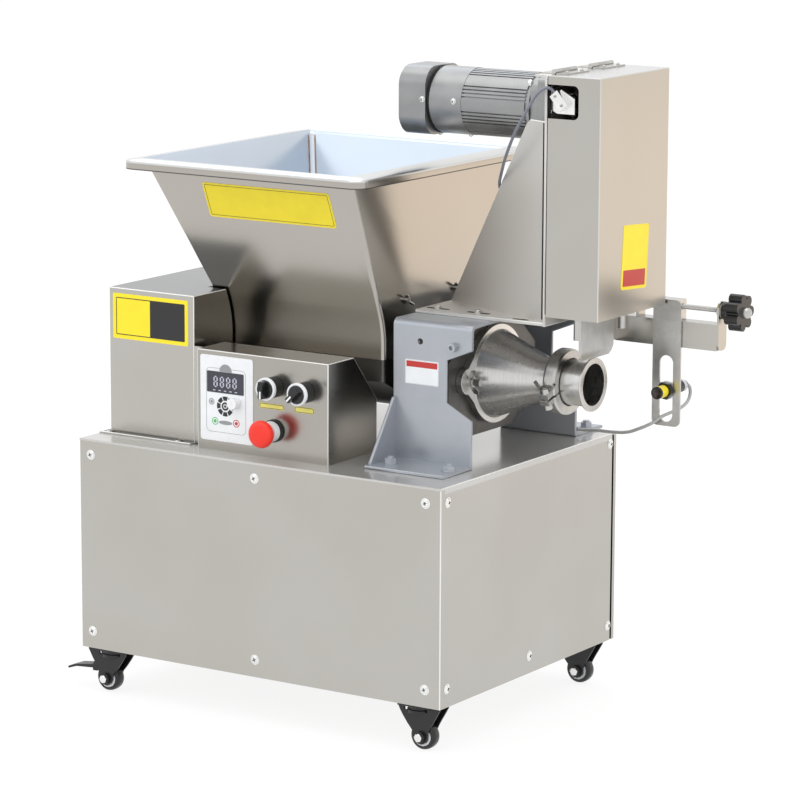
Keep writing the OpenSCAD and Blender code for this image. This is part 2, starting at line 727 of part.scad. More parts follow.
// BRACKETS
module bracket_section() {
    r = 10;
    o = AY - brk_half;
    h = T + brk_h;
    q = 6;
    translate([o, T + q]) square([brk_t, brk_h - q - r]);
    translate([o + r, h - brk_t]) square([64, brk_t]);
    intersection() {
        translate([o + r, h - r]) difference() {
            circle(r);
            circle(r - brk_t);
        }
        translate([o, h - r]) square([r, r]);
    }
    translate([o - foot_d, T]) square([foot_d + brk_t, brk_t]);
    translate([o, T]) square([brk_t, q + e]);
}
module support_brackets() color("LightSteelBlue") {
    o = AY - brk_half;
    mirrored_y() {
        difference() {
            along_x(brk_x0, brk_x1) bracket_section();
            along_y(o - 1, o + brk_t + 1)
                polygon([[brk_x1 + 1, T + brk_h - 36], [brk_x1 - 42, T + brk_h - 53],
                         [brk_x1 - 42, T + brk_h - 114], [brk_x1 + 1, T + brk_h - 137]]);
            ycyl(4.5, o - 1, o + brk_t + 1, brk_x0 + 45, T + brk_h - 30);
            ycyl(4.5, o - 1, o + brk_t + 1, brk_x1 - 30, T + brk_h - 33);
            for (x = [brk_x0 + 24, brk_x1 - 10])
                zcyl(5.5, T - 1, T + brk_t + 1, x, o - 43);
        }
        along_x(brk_x0, brk_x0 + brk_t)
            polygon([[o + e, T + brk_t - e], [o - foot_d + 10, T + brk_t - e],
                     [o - foot_d + 10, T + brk_t + 4], [o - 6, T + 92], [o + e, T + 92]]);
    }
}
module bracket_bolts() color("Gainsboro") {
    o = AY - brk_half;
    mirrored_y() {
        for (x = [brk_x0 + 24, brk_x1 - 10]) {
            zcyl(10, T + brk_t, T + brk_t + 2, x, o - 43);
            translate([x, o - 43, T + brk_t + 2 - e]) cylinder(r = 9, h = 6.4, $fn = 6);
            zcyl(5, T + brk_t + 2, T + brk_t + 11, x, o - 43);
        }
        ycyl(4, o - 1, o + brk_t, brk_x1 - 30, T + brk_h - 33);
        difference() {
            ycyl(6.5, o - 8, o, brk_x1 - 30, T + brk_h - 33);
            translate([brk_x1 - 30, o - 9, T + brk_h - 33]) rotate([-90, 0, 0])
                cylinder(r = 3.5, h = 5, $fn = 6);
        }
    }
    // clip for the sensor's cable, on the far foot
    clip_x = splate_x - 176;
    clip_y = splate_y + splate_t + 50;
    box(clip_x - 10, clip_x, clip_y - 5, clip_y + 14, T + brk_t, T + brk_t + 1.5);
    xcyl(4.5, clip_x - 10, clip_x, clip_y, T + brk_t + 4.5);
}

// CUTTER HEAD
// the wings of the stand: foot, tip, rise, length and angle
wing_foot = T + brk_h + base_t;
wing_tip = brk_x0 + 5;
wing_rise = MZ - 10 - wing_foot;
wing_reach = mount_half - 7;
wing_run = mount_x - wing_tip;
wing_l = sqrt(wing_run * wing_run + wing_reach * wing_reach);
wing_a = atan2(wing_reach, wing_run);
// place at t down the near wing's sloped edge, g clear of it
function wing_edge(t, g) =
    let (d = unit([wing_l - 56, wing_rise - 23]),
         u = wing_l - 54 - t * (wing_l - 56) - g * d[1],
         z = wing_foot + wing_rise - 19 - t * (wing_rise - 23) + g * d[0])
    [wing_tip + u * cos(wing_a), AY - u * sin(wing_a), z];
module cutter_stand() color("Silver") {
    z0 = T + brk_h;
    z1 = wing_foot;
    rise = wing_rise;
    l = wing_l;
    difference() {
        union() {
            box(brk_x0 + 1, mount_x + e, AY - 92, AY + 92, z0, z1);
            box(mount_x, mount_x1, AY - mount_half, AY + mount_half, z0, cover_z1);
            box(mount_x - 16, mount_x1, AY - mount_half, AY + mount_half,
                cover_z1 - 3, cover_z1);
            box(mount_x, mount_x1, AY + 62, arm_y0 + arm_w, arm_z0, z0 + e);
            box(mount_x, mount_x1, AY + 62, arm_y0 + arm_w, z0 - e, z0 + 14);
            for (s = [-1, 1])
                translate([wing_tip, AY, 0]) rotate([0, 0, s * wing_a])
                    along_y(-2, 2)
                        polygon([[0, z1 - e], [l, z1 - e], [l, z1 + rise],
                                 [l - 36, z1 + rise], [l - 46, z1 + rise - 7],
                                 [l - 54, z1 + rise - 19], [2, z1 + 4]]);
        }
        xcyl(20, mount_x - 1, mount_x1 + 1, AY, MZ);
        box(mount_x1, mount_x1 + 20, AY - 120, AY + 120, z1 - 1, MZ);
        zcyl(2.5, z0 - 1, z1 + 1, brk_x0 + 70, AY + 8);
    }
}
module motor_gearbox() color("#85898c") {
    x0 = mount_x - gbx_l;
    h = gbx_w / 2;
    difference() {
        union() {
            along_x(x0 + 14, mount_x - 9) rrect(AY - h, AY + h, MZ - h, MZ + h, 8);
            along_x(mount_x - 9.5, mount_x) rrect(AY - h + 1.5, AY + h - 1.5,
                MZ - h + 1.5, MZ + h - 1.5, 8);
            along_x(x0, x0 + 14 + e) rrect(AY - h + 3, AY + h - 3, MZ - h + 3, MZ + h - 3, 20);
            xcyl(19.9, mount_x - e, mount_x1, AY, MZ);
        }
        xcyl(crank_shaft_r + fit, mount_x - 32, mount_x1 + 1, AY, MZ);
    }
}
module motor_body() color("#8d9194") {
    x1 = mount_x - gbx_l;
    x0 = x1 - rib_l;
    r = motor_d / 2;
    along_x(x0, x1 - 6) translate([AY, MZ])
        difference() {
            circle(r - 0.5);
            // eight plain bands with four grooves between each pair
            for (i = [0:7], j = [-1.5:1:1.5])
                rotate(45 * i + 22.5 + 6.5 * j) translate([r - 4, -1.1]) square([8, 2.2]);
        }
    xcyl(r - 2.5, x1 - 6 - e, x1, AY, MZ);
    xcyl(r, x0 - smooth_l, x0 + e, AY, MZ);
    xcyl(r - 9, x0 - smooth_l - 4, x0 - smooth_l + e, AY, MZ);
}
module motor_fan_cover() color("#8d9194") {
    x1 = mount_x - gbx_l - rib_l - smooth_l - 3;
    x0 = x1 - fan_l;
    h = motor_d / 2 + 1;
    difference() {
        union() {
            along_x(x0 + 3, x1) rrect(AY - h, AY + h, MZ - h, MZ + h, 28);
            along_x(x0, x0 + 3 + e) rrect(AY - h + 3, AY + h - 3, MZ - h + 3, MZ + h - 3, 26);
        }
        for (i = [0:11])
            translate([x0 - 1, AY, MZ]) rotate([30 * i, 0, 0])
                box(0, 5, 16, 36, -2.5, 2.5);
        xcyl(motor_d / 2 - 9, x1 - 1 - e, x1 + 1, AY, MZ);
    }
}
module crank() color("Gainsboro") {
    b = 158;
    xcyl(crank_shaft_r, mount_x - 30, disc_x + e, AY, MZ);
    xcyl(disc_r, disc_x, disc_x + disc_t, AY, MZ);
    xcyl(pin_r, disc_x + disc_t - e, slide_x + slide_t + 1, AY, pin_z);
    xcyl(9, disc_x + disc_t - e, disc_x + disc_t + 3, AY, pin_z);
    translate([0, AY, MZ]) rotate([b, 0, 0])
        box(disc_x, disc_x + disc_t, disc_r - 6, flag_r, -6, 6);
}
module knife_carriage() color("Silver") {
    k0 = cover_z0 + 9.5;
    b0 = MZ - 178;
    difference() {
        union() {
            along_x(slide_x, slide_x + slide_t) {
                translate([AY - 30, k0]) square([60, pin_z - k0 - slot_half_h]);
                translate([AY - slot_half_l - 6, pin_z - slot_half_h - 5])
                    square([2 * slot_half_l + 12, 2 * slot_half_h + 8.5]);
                translate([AY - rod_u, b0]) square([2 * rod_u, 40]);
            }
            for (s = [-1, 1])
                zcyl(rod_r + 3.5, b0, b0 + 40, rod_x, AY + s * rod_u);
        }
        along_x(slide_x - 1, slide_x + slide_t + 1)
            translate([AY - slot_half_l, pin_z - slot_half_h])
                square([2 * slot_half_l, 2 * slot_half_h]);
        for (s = [-1, 1])
            zcyl(rod_r + fit, b0 - 1, b0 + 41, rod_x, AY + s * rod_u);
    }
}
module knife() color("WhiteSmoke")
    intersection() {
        along_y(AY - knife_w / 2, AY + knife_w / 2)
            polygon([[knife_x, AZ + 39], [knife_x + 0.6, AZ + 39], [slide_x, AZ + 53],
                     [slide_x, cover_z0 + 64.5], [knife_x, cover_z0 + 64.5]]);
        along_x(knife_x - 1, slide_x + 1)
            polygon([[AY - knife_w / 2, AZ + 45], [AY - knife_w / 2 + 6, AZ + 39],
                     [AY + knife_w / 2 - 6, AZ + 39], [AY + knife_w / 2, AZ + 45],
                     [AY + knife_w / 2, cover_z0 + 66], [AY - knife_w / 2, cover_z0 + 66]]);
    }
module guide_rods() color("Gainsboro")
    for (s = [-1, 1]) {
        zcyl(rod_r, cover_z0 - 34.5, MZ - 62, rod_x, AY + s * rod_u);
        for (z = [cover_z0 + 4.5, MZ - 78])
            box(mount_x1, rod_x + rod_r + 3.5, AY + s * rod_u - 9, AY + s * rod_u + 9,
                z, z + 14);
    }
module cutter_cover() color("LightGray") {
    x1 = cover_x + cover_l;
    y0 = AY - cover_half;
    y1 = AY + cover_half;
    difference() {
        box(cover_x, x1, y0, y1, cover_z0, cover_z1);
        box(cover_x - 1, x1 - cover_t, y0 + cover_t, y1 - cover_t,
            cover_z0 - 1, cover_z1 - cover_t);
        along_y(y0 - 1, y0 + cover_t + 1)
            rrect(cover_x - 30, cover_x + 49, MZ - 4, MZ + 43, 8);
    }
    for (s = [-1, 1])
        translate([0, AY + s * hinge_u, 0])
            difference() {
                union() {
                    box(hinge_x + 4, hinge_x + 22, -hinge_l / 2, hinge_l / 2,
                        cover_z1 - e, cover_z1 + 2);
                    box(hinge_x, hinge_x + 5, -hinge_l / 6 + 0.2, hinge_l / 6 - 0.2,
                        cover_z1 + 0.3, cover_z1 + 2);
                    ycyl(hinge_r, -hinge_l / 6 + 0.2, hinge_l / 6 - 0.2, hinge_x, hinge_z);
                }
                ycyl(1.6 + fit, -hinge_l, hinge_l, hinge_x, hinge_z);
            }
}
module cover_hinges() color("Gainsboro")
    for (s = [-1, 1])
        translate([0, AY + s * hinge_u, 0]) {
            box(hinge_x - 20, hinge_x - 4, -hinge_l / 2, hinge_l / 2, cover_z1, cover_z1 + 2);
            for (y = [-hinge_l / 2, hinge_l / 6]) {
                box(hinge_x - 5, hinge_x, y, y + hinge_l / 3, cover_z1 + 0.3, cover_z1 + 2);
                ycyl(hinge_r, y, y + hinge_l / 3, hinge_x, hinge_z);
            }
            ycyl(1.6, -hinge_l / 2, hinge_l / 2, hinge_x, hinge_z);
        }
module prox_bracket() color("Gainsboro") {
    u = AY - cover_half + 8;
    x = mount_x1;
    box(x, x + 3, u, u + 26, MZ + 2, MZ + 40);
    difference() {
        along_y(u, u + 3)
            polygon([[x, MZ + 8], [x, MZ + 24], [x + 18, MZ + 36], [x + 40, MZ + 24],
                     [x + 40, MZ + 2], [x + 12, MZ + 2]]);
        ycyl(6 + fit, u - 1, u + 4, x + 19, MZ + 21);
    }
}
module prox_sensor() color("#2a2c2f") {
    u = AY - cover_half + 8;
    translate([mount_x1 + 19, 0, MZ + 21]) rotate([0, -40, 0])
        box(-7.5, 7.5, u - 9, u, -13, 13);
    ycyl(6, u - e, u + 27, mount_x1 + 19, MZ + 21);
}
module prox_cable() color("LightGray") {
    c = wing_edge(0.32, 4);
    cord([[mount_x1 + 10.5, AY - 92.5, MZ + 31.1], [mount_x1 + 8.6, AY - 92.5, MZ + 33.4],
          [mount_x1 + 6.7, AY - 92.9, MZ + 35.6], [mount_x1 + 1.5, AY - 97, MZ + 38.3],
          [mount_x1 - 5, AY - 101, MZ + 35.5], [mount_x1 - 14, AY - 104, MZ + 26],
          [mount_x - 22, AY - 106, MZ + 6], [mount_x - 44, AY - 100, MZ - 26],
          c + [33, -36, 48], c + [13, -16, 19], c, c + [-6, 17, -18],
          c + [-8, 31, -46], c + [-14, 40, -84],
          [brk_x0 + 71, AY + 6, T + brk_h + 40], [brk_x0 + 70, AY + 8, T + brk_h - 3]],
         2.2, [1, -1, 0], 8, 4);
}

// CONTROL BOX
module box_section(g) {
    y0 = box_y0 + g;
    y1 = box_y0 + box_d - g;
    z1 = T + box_h - g;
    polygon([[y0, T - g], [y0, z1], [box_y0 + 65 - 0.4 * g, z1],
             [y1, T + box_h - 69 - 0.4 * g], [y1, T - g]]);
}
module control_box() color("Silver")
    difference() {
        along_x(box_x0, box_x1) box_section(0);
        along_x(box_x0 + sheet, box_x1 - sheet) box_section(sheet);
        ycyl(3 + fit, face_y - 1, face_y + sheet + 1, pot_at[0], pot_at[1]);
    }
module keypad() color("White")
    difference() {
        along_y(face_y - film_t, face_y)
            rrect(pad_x, pad_x + pad_w, pad_z, pad_z + pad_h, 4);
        ycyl(4, face_y - film_t - 1, face_y + 1, pot_at[0], pot_at[1]);
    }
module display_window() color("#3c4650")
    along_y(face_y - film_t - 0.5, face_y - film_t)
        rrect(pad_x + 12, pad_x + 77, pad_z + 71, pad_z + 102, 1.5);
module switch_collars() color("#26282b") {
    for (p = [sel_a, sel_b])
        ycyl(15, face_y - 19, face_y, p[0], p[1]);
    difference() {
        ycyl(16.5, face_y - 5, face_y, stop_at[0], stop_at[1]);
        ycyl(9 + fit, face_y - 6, face_y - 2, stop_at[0], stop_at[1]);
    }
}
module switch_rings() color("White") {
    difference() {
        ycyl(15, face_y - 17, face_y - 5, stop_at[0], stop_at[1]);
        ycyl(9 + fit, face_y - 18, face_y - 4, stop_at[0], stop_at[1]);
    }
    for (p = [sel_a, sel_b])
        difference() {
            ycyl(16.5, face_y - 25, face_y - 19, p[0], p[1]);
            ycyl(13 + fit, face_y - 26, face_y - 20, p[0], p[1]);
        }
}
module selector(p, a) {
    ycyl(13, face_y - 27, face_y - 20.1, p[0], p[1]);
    translate([p[0], face_y, p[1]]) rotate([0, a, 0])
        box(-3.5, 3.5, -37, -27 + e, -12.4, 12.4);
}
module selector_left() color("#1d1f21") selector(sel_a, 0);
module selector_right() color("#1d1f21") selector(sel_b, 45);
module estop_head() color("#c8321f")
    turned_y(stop_at[0], stop_at[1])
        polygon([[0, face_y - 40], [10, face_y - 40], [16, face_y - 38.5], [19, face_y - 36],
                 [20, face_y - 32], [19, face_y - 27], [15, face_y - 24], [9, face_y - 24],
                 [9, face_y - 8], [0, face_y - 8]]);
module pot_knob() color("#d8dad8") {
    ycyl(8, face_y - film_t - 13, face_y - film_t - 0.3, pot_at[0], pot_at[1]);
    ycyl(3, face_y - film_t - 0.3 - e, face_y + sheet + 4, pot_at[0], pot_at[1]);
    box(pot_at[0] - 0.8, pot_at[0] + 0.8, face_y - film_t - 13.6, face_y - film_t - 13 + e,
        pot_at[1], pot_at[1] + 7);
}

// SENSOR ARM
module sensor_arm() color("Silver")
    difference() {
        union() {
            box(mount_x1, arm_x1, arm_y0, arm_y0 + arm_w, arm_z0, arm_z1);
            along_x(arm_x1 - e, arm_x1 + end_t)
                rrect(arm_y0, arm_y0 + arm_w, arm_z0, screw_z + 13.5, 9);
            box(mount_x1 + 33, mount_x1 + 37, arm_y0 + 2, arm_y0 + arm_w - 2,
                arm_z1 - e, screw_z + 12);
            xcyl(10.5, arm_x1 - 2, knob_x - 0.3, screw_y, screw_z);
        }
        xcyl(screw_r + fit, mount_x1 + 32, knob_x + 1, screw_y, screw_z);
    }
module adjusting_screw() color("Gainsboro") {
    xcyl(screw_r, mount_x1 + 28, knob_x + 34, screw_y, screw_z);
    turned_x(screw_y, screw_z)
        polygon([[0, knob_x + 33], [8, knob_x + 33], [8, knob_x + 39],
                 [5, knob_x + 42], [0, knob_x + 43]]);
}
module star_knob() color("#1c1d1f")
    difference() {
        union() {
            xcyl(13, knob_x, knob_x + 13, screw_y, screw_z);
            along_x(knob_x + 12, knob_x + 33) translate([screw_y, screw_z]) {
                circle(knob_r * 0.72);
                for (i = [0:6])
                    rotate(360 * i / 7) translate([knob_r * 0.72, 0]) circle(knob_r * 0.28);
            }
        }
        xcyl(screw_r, knob_x - 1, knob_x + 34, screw_y, screw_z);
    }
module sensor_plate() color("Gainsboro")
    difference() {
        union() {
            along_y(splate_y, splate_y + splate_t)
                rrect(splate_x - plate_w / 2, splate_x + plate_w / 2, sensor_z - 52,
                    screw_z + 10.5, 9);
            box(splate_x - 17, splate_x + 17, splate_y + splate_t - e, screw_y + 10,
                arm_z1 + 0.4, screw_z + 10);
        }
        along_y(splate_y - 1, splate_y + splate_t + 1)
            rrect(splate_x - slot_w / 2, splate_x + slot_w / 2, sensor_z - 46, sensor_z + 51,
                slot_w / 2 - e);
        xcyl(screw_r + 0.3, splate_x - 20, splate_x + 20, screw_y, screw_z);
    }
module photo_sensor() color("#1e2022") {
    y0 = splate_y - 28;
    y1 = splate_y + splate_t;
    ycyl(sensor_r, y0, y1 + 46, splate_x, sensor_z);
    difference() {
        ycyl(sensor_r - 2, y1 + 46 - e, y1 + 52, splate_x, sensor_z);
        ycyl(cord_r + 0.3, y1 + 48, y1 + 53, splate_x, sensor_z);
    }
    ycyl(sensor_r + 4.5, splate_y - 7, splate_y, splate_x, sensor_z);
    ycyl(sensor_r + 4.5, y1, y1 + 7, splate_x, sensor_z);
}
module sensor_cable() color("LightGray") {
    y1 = splate_y + splate_t;
    cord([[splate_x, y1 + 48.2, sensor_z], [splate_x, y1 + 53, sensor_z],
          [splate_x, y1 + 59, sensor_z - 0.6], [splate_x, y1 + 67, sensor_z - 5.5],
          [splate_x, y1 + 70, sensor_z - 15], [splate_x, y1 + 64, sensor_z - 25],
          [splate_x, y1 + 50, sensor_z - 31], [splate_x, y1 + 30, sensor_z - 34],
          [splate_x, y1 + 12, sensor_z - 35], [splate_x - 4, y1 - 5, sensor_z - 38],
          [splate_x - 16, y1 - 14, sensor_z - 48], [splate_x - 36, y1 - 14, sensor_z - 58],
          [splate_x - 62, y1 - 4, sensor_z - 68], [splate_x - 97, y1 + 15, sensor_z - 75],
          [splate_x - 132, y1 + 35, sensor_z - 80], [splate_x - 155, y1 + 47, T + 11],
          [splate_x - 167, y1 + 50, T + brk_t + 4.6], [splate_x - 172, y1 + 50, T + brk_t + 4.5],
          [splate_x - 175.7, y1 + 50, T + brk_t + 4.5]],
         cord_r, [1, 0, -1], 8, 4);
}

base_frame();
top_plate();
front_panel();
side_panels();
rear_panel();
caster_plates();
fork_fl();
fork_fr();
fork_rl();
fork_rr();
wheel_fl();
wheel_fr();
wheel_rl();
wheel_rr();
pedal_fl();
pedal_rl();
reducer();
main_motor();
drive_cover();
shaft_seal();
feed_barrel();
auger();
hopper();
wing_screws();
cone();
wing_nuts();
clamp_gasket();
nozzle();
clamp();
clamp_bolt();
support_brackets();
bracket_bolts();
cutter_stand();
motor_gearbox();
motor_body();
motor_fan_cover();
crank();
knife_carriage();
knife();
guide_rods();
cutter_cover();
cover_hinges();
prox_bracket();
prox_sensor();
prox_cable();
control_box();
keypad();
display_window();
switch_collars();
switch_rings();
selector_left();
selector_right();
estop_head();
pot_knob();
sensor_arm();
adjusting_screw();
star_knob();
sensor_plate();
photo_sensor();
sensor_cable();
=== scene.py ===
"""Dough divider: finishes, fasteners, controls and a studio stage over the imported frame.

Lengths in the tables are millimetres in the row frame: +Z up, +X towards the outlet,
-Y towards the operator, with the origin on the floor under the middle of the cabinet.
"""

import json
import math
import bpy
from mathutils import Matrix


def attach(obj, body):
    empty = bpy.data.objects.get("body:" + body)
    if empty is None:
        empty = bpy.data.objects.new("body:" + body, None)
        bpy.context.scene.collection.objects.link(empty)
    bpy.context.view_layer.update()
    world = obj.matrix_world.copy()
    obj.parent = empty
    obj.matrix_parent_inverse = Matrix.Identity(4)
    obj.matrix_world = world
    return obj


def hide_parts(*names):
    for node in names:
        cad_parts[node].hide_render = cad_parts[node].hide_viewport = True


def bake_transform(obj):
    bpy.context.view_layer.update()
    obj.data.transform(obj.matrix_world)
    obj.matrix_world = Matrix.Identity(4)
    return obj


bl_info = {
    "name": "Dough Divider",
    "version": (1, 0, 0),
    "blender": (4, 5, 0),
    "location": "3D View > Sidebar > Divider",
    "description": "Dresses the packed dough divider and sets up its studio stage",
    "category": "Object",
}

import bmesh
import bpy
from bpy.props import FloatProperty, FloatVectorProperty, IntProperty, PointerProperty
from mathutils import Matrix, Vector

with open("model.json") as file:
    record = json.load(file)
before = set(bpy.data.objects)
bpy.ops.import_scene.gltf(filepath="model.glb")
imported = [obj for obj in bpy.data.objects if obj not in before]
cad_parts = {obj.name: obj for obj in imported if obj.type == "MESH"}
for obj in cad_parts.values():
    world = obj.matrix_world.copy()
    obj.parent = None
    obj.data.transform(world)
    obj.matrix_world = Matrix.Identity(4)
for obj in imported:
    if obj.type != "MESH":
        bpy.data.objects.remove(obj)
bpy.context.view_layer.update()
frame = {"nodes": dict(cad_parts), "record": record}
NODES = frame["nodes"]
BODY_OF = {
    node: body
    for body, members in frame["record"]["behaviour"]["bodies"].items()
    for node in members
}
MM = 0.001
FINISH = "_finish"

# heights and axes that several pieces share
TOP = 381.0
AXIS_Y = 40.0
AXIS_Z = 493.0
MOTOR_Z = 884.0
FACE_Y = -194.0
STAND_TOP = TOP + 211
# how far printed and inlaid marks reach into the face under them
SUNK = -0.1

# axles of the casters, either side of the middle, and the pins of their forks
AXLE_X = 278.0
AXLE_Y = 214.0
AXLE_Z = 20.0
KING_X = 270.0

# the hopper: foot of its skirt, middle of its rolled bend and half the bend's height, rise of
# the slopes from there to the rim, width of the rim, corner radius and thickness of its sheet
SKIRT = TOP + 136
BEND = 561.0
ROLL = 26.0
RISE = 233.0
RIM_OUT = 30.0
CORNER = 8.0
SHEET = 2.0
# its walls, as left, right and half depth, at the bend and at the rim
THROAT = (-165.0, 118.0, 118.0)
MOUTH = (-241.0, 122.0, 215.0)
# the rim's outline: how far out from the inner edge, and how far under the top
RIM = ((4.5, 3.2), (26, 6), (28, 7.5), (28, 17), (30, 17), (30, 15.4), (30, 7.5), (29.6, 5.6),
       (28.4, 4.4), (26.6, 3.7), (5.5, 0.8), (3.2, 0.8), (1.5, 1.8), (0.4, 3.6))

# points of a node that count as one, in metres, and faces that count as flat, in radians
SAME_POINT = 2e-6
SAME_FACE = math.radians(0.3)

# folds that are rounded: least length and width of the faces beside, in metres, and least angle
LONG_FOLD = 0.03
BROAD_FACE = 0.003
SHARP_FOLD = math.radians(20)

# scales of grain that runs level, upright or along a flat top, and of plain grain
LEVEL = (4.0, 4.0, 320.0)
UPRIGHT = (320.0, 320.0, 4.0)
FLAT = (4.0, 320.0, 320.0)
EVEN = (60.0, 60.0, 60.0)
# grain and depth of printed film
FILM = (500.0, 0.05)

# the stage: half the floor's width, the share of white that the lens sees on it, and the
# camera's turn, dip and lean in radians
WHITE = (1.0, 1.0, 1.0, 1.0)
FLOOR = 15000.0
FLOOR_GLOW = 0.86
LOOK = (0.5801557, 0.1909845, 0.0038068)
SENSOR = 36.0


# SETTINGS


def length(name, text, default):
    """A length in metres."""
    return FloatProperty(name=name, description=text, default=default, min=0.0,
                         precision=5, subtype="DISTANCE", unit="LENGTH")


def colour(name, text, default):
    """A linear colour."""
    return FloatVectorProperty(name=name, description=text, default=default, size=3,
                               min=0.0, max=1.0, subtype="COLOR")


def strength(name, text, default):
    """The radiance of a light."""
    return FloatProperty(name=name, description=text, default=default, min=0.0, max=5.0)


class DividerSizes(bpy.types.PropertyGroup):
    """Small sizes that the frame leaves open"""

    sheet_edge: length("Sheet edge", "Rounding of folded and cut sheet", 0.0006)
    sheet_fold: length("Sheet fold", "Rounding of the long folds of sheet", 0.0012)
    part_edge: length("Part edge", "Rounding of machined parts", 0.0007)
    moulded_edge: length("Moulded edge", "Rounding of plastic parts", 0.0010)
    screw_head: length("Screw head", "Diameter of the panel screws' heads", 0.0120)
    plate_thick: length("Plate thickness", "Thickness of the stuck-on plates", 0.0004)
    thread_pitch: length("Thread pitch", "Pitch of the adjusting screw's thread", 0.0020)
    corner_steps: IntProperty(name="Corner steps", description="Faces round a hopper corner",
                              default=14, min=4, max=32)


class DividerColours(bpy.types.PropertyGroup):
    """Colours of the finishes"""

    satin: colour("Satin sheet", "Satin stainless sheet", (0.50, 0.485, 0.455))
    stand: colour("Stand sheet", "Matt sheet of the cutter's stand", (0.74, 0.725, 0.70))
    # painted reflection: the hopper's inside is a brighter, bluish copy of the satin sheet standing
    # in for the sky it reflects
    inside: colour("Hopper inside", "Bright inside of the hopper", (0.60, 0.665, 0.75))
    turned: colour("Turned steel", "Turned cone and nozzle", (0.66, 0.65, 0.635))
    box: colour("Box sheet", "Darker satin sheet of the control box", (0.42, 0.405, 0.375))
    bright: colour("Bright steel", "Machined stainless", (0.56, 0.55, 0.53))
    zinc: colour("Zinc plate", "Bluish zinc-plated plate", (0.43, 0.45, 0.485))
    motor: colour("Motor paint", "Silver-grey paint of the motor", (0.33, 0.332, 0.333))
    drive: colour("Drive paint", "Blue-grey paint of the drive", (0.05, 0.085, 0.14))
    black: colour("Black plastic", "Knobs and switch bodies", (0.012, 0.012, 0.013))
    white: colour("White plastic", "Keypad film and switch rings", (0.86, 0.88, 0.90))
    red: colour("Red plastic", "Stop button", (0.90, 0.030, 0.014))
    yellow: colour("Yellow film", "Stuck-on plates", (0.98, 0.79, 0.020))
    ink: colour("Dark ink", "Borders and keys", (0.018, 0.018, 0.020))
    coat: colour("Caster coat", "Black coat of the casters", (0.012, 0.012, 0.014))
    sheath: colour("Cable sheath", "Light grey cable", (0.46, 0.46, 0.45))


class DividerStage(bpy.types.PropertyGroup):
    """Camera and light"""

    camera_at: FloatVectorProperty(name="Camera", description="Place of the camera", size=3,
                                   default=(2.9739, -4.3957, 1.4605), subtype="XYZ",
                                   unit="LENGTH")
    lens: FloatProperty(name="Lens", description="Focal length in millimetres",
                        default=165.36, min=10.0)
    ambient: strength("Ambient", "Sky light on matt surfaces", 1.30)
    warm_card: strength("Warm card", "Radiance of the card behind, right", 0.40)
    cool_card: strength("Cool card", "Radiance of the card behind, left", 1.20)
    overhead: strength("Overhead", "Radiance of the card above", 1.20)
    front_card: strength("Front card", "Radiance of the card in front", 0.40)


def sizes():
    return bpy.context.scene.divider_sizes


# FINISHES


def add_node(tree, kind, inputs, output, operation=None):
    """A shader node with its inputs set or linked; gives one of its outputs."""
    node = tree.nodes.new("ShaderNode" + kind)
    if operation is not None:
        node.operation = operation
    for name, value in inputs.items():
        if isinstance(value, bpy.types.NodeSocket):
            tree.links.new(value, node.inputs[name])
        else:
            node.inputs[name].default_value = value
    return node.outputs[output]


class Finish:
    """A material in the making, with its place in metres of the row frame."""

    def __init__(self, name):
        self.material = bpy.data.materials.new(name + FINISH)
        self.material.use_nodes = True
        self.tree = self.material.node_tree
        self.shader = self.tree.nodes["Principled BSDF"]
        self.place = self.node("TexCoord", {}, "Object")

    def node(self, kind, inputs, output):
        return add_node(self.tree, kind, inputs, output)

    def noise(self, scale, detail=2.0, rough=0.5):
        return self.node("TexNoise", {"Vector": self.place, "Scale": scale, "Detail": detail,
                                      "Roughness": rough}, "Fac")

    def streaks(self, scale, detail):
        """Noise drawn out by a scale for each axis."""
        place = self.node("Mapping", {"Vector": self.place, "Scale": scale}, "Vector")
        return self.node("TexNoise", {"Vector": place, "Scale": 1.0, "Detail": detail}, "Fac")

    def cells(self, scale):
        return self.node("TexVoronoi", {"Vector": self.place, "Scale": scale}, "Distance")

    def tones(self, value, base, low, high, tint=(1.0, 1.0, 1.0)):
        """Colours either side of base, the darker ones tinted."""
        ramp = self.tree.nodes.new("ShaderNodeValToRGB")
        first, last = ramp.color_ramp.elements
        first.position = 0.32
        last.position = 0.68
        first.color = [min(1.0, c * low * t) for c, t in zip(base, tint)] + [1.0]
        last.color = [min(1.0, c * high) for c in base] + [1.0]
        self.tree.links.new(value, ramp.inputs["Fac"])
        return ramp.outputs["Color"]

    def spread(self, value, low, high):
        return self.node("MapRange", {"Value": value, "From Min": 0.3, "From Max": 0.7,
                                      "To Min": low, "To Max": high}, "Result")

    def relief(self, value, strength, height, under=None):
        inputs = {"Height": value, "Strength": strength, "Distance": height}
        if under is not None:
            inputs["Normal"] = under
        return self.node("Bump", inputs, "Normal")

    def done(self, metal, colour, rough, normal=None):
        """Links up the shader and gives the material."""
        self.shader.inputs["Metallic"].default_value = metal
        for name, value in (("Base Color", colour), ("Roughness", rough), ("Normal", normal)):
            if value is not None:
                self.tree.links.new(value, self.shader.inputs[name])
        return self.material


def sheet_finish(name, base, grain, rough, wave=0.25, metal=1.0):
    """Satin sheet: fine grain along one way, and a slightly wavy face."""
    f = Finish(name)
    cloud = f.noise(5.0)
    wavy = f.relief(f.noise(2.6, 1.0), wave, 0.004)
    return f.done(metal, f.tones(cloud, base, 0.97, 1.03, (1.0, 0.99, 0.97)),
                  f.spread(cloud, rough - 0.02, rough + 0.02),
                  f.relief(f.streaks(grain, 1.0), 0.02, 0.0002, wavy))


def machined_finish(name, base, grain, rough):
    """Turned or milled steel: tool lines and small bright and dull places."""
    f = Finish(name)
    lines = f.streaks(grain, 2.0)
    return f.done(1.0, f.tones(lines, base, 0.93, 1.05),
                  f.spread(f.noise(24.0, 3.0), rough - 0.02, rough + 0.03),
                  f.relief(lines, 0.03, 0.0002))


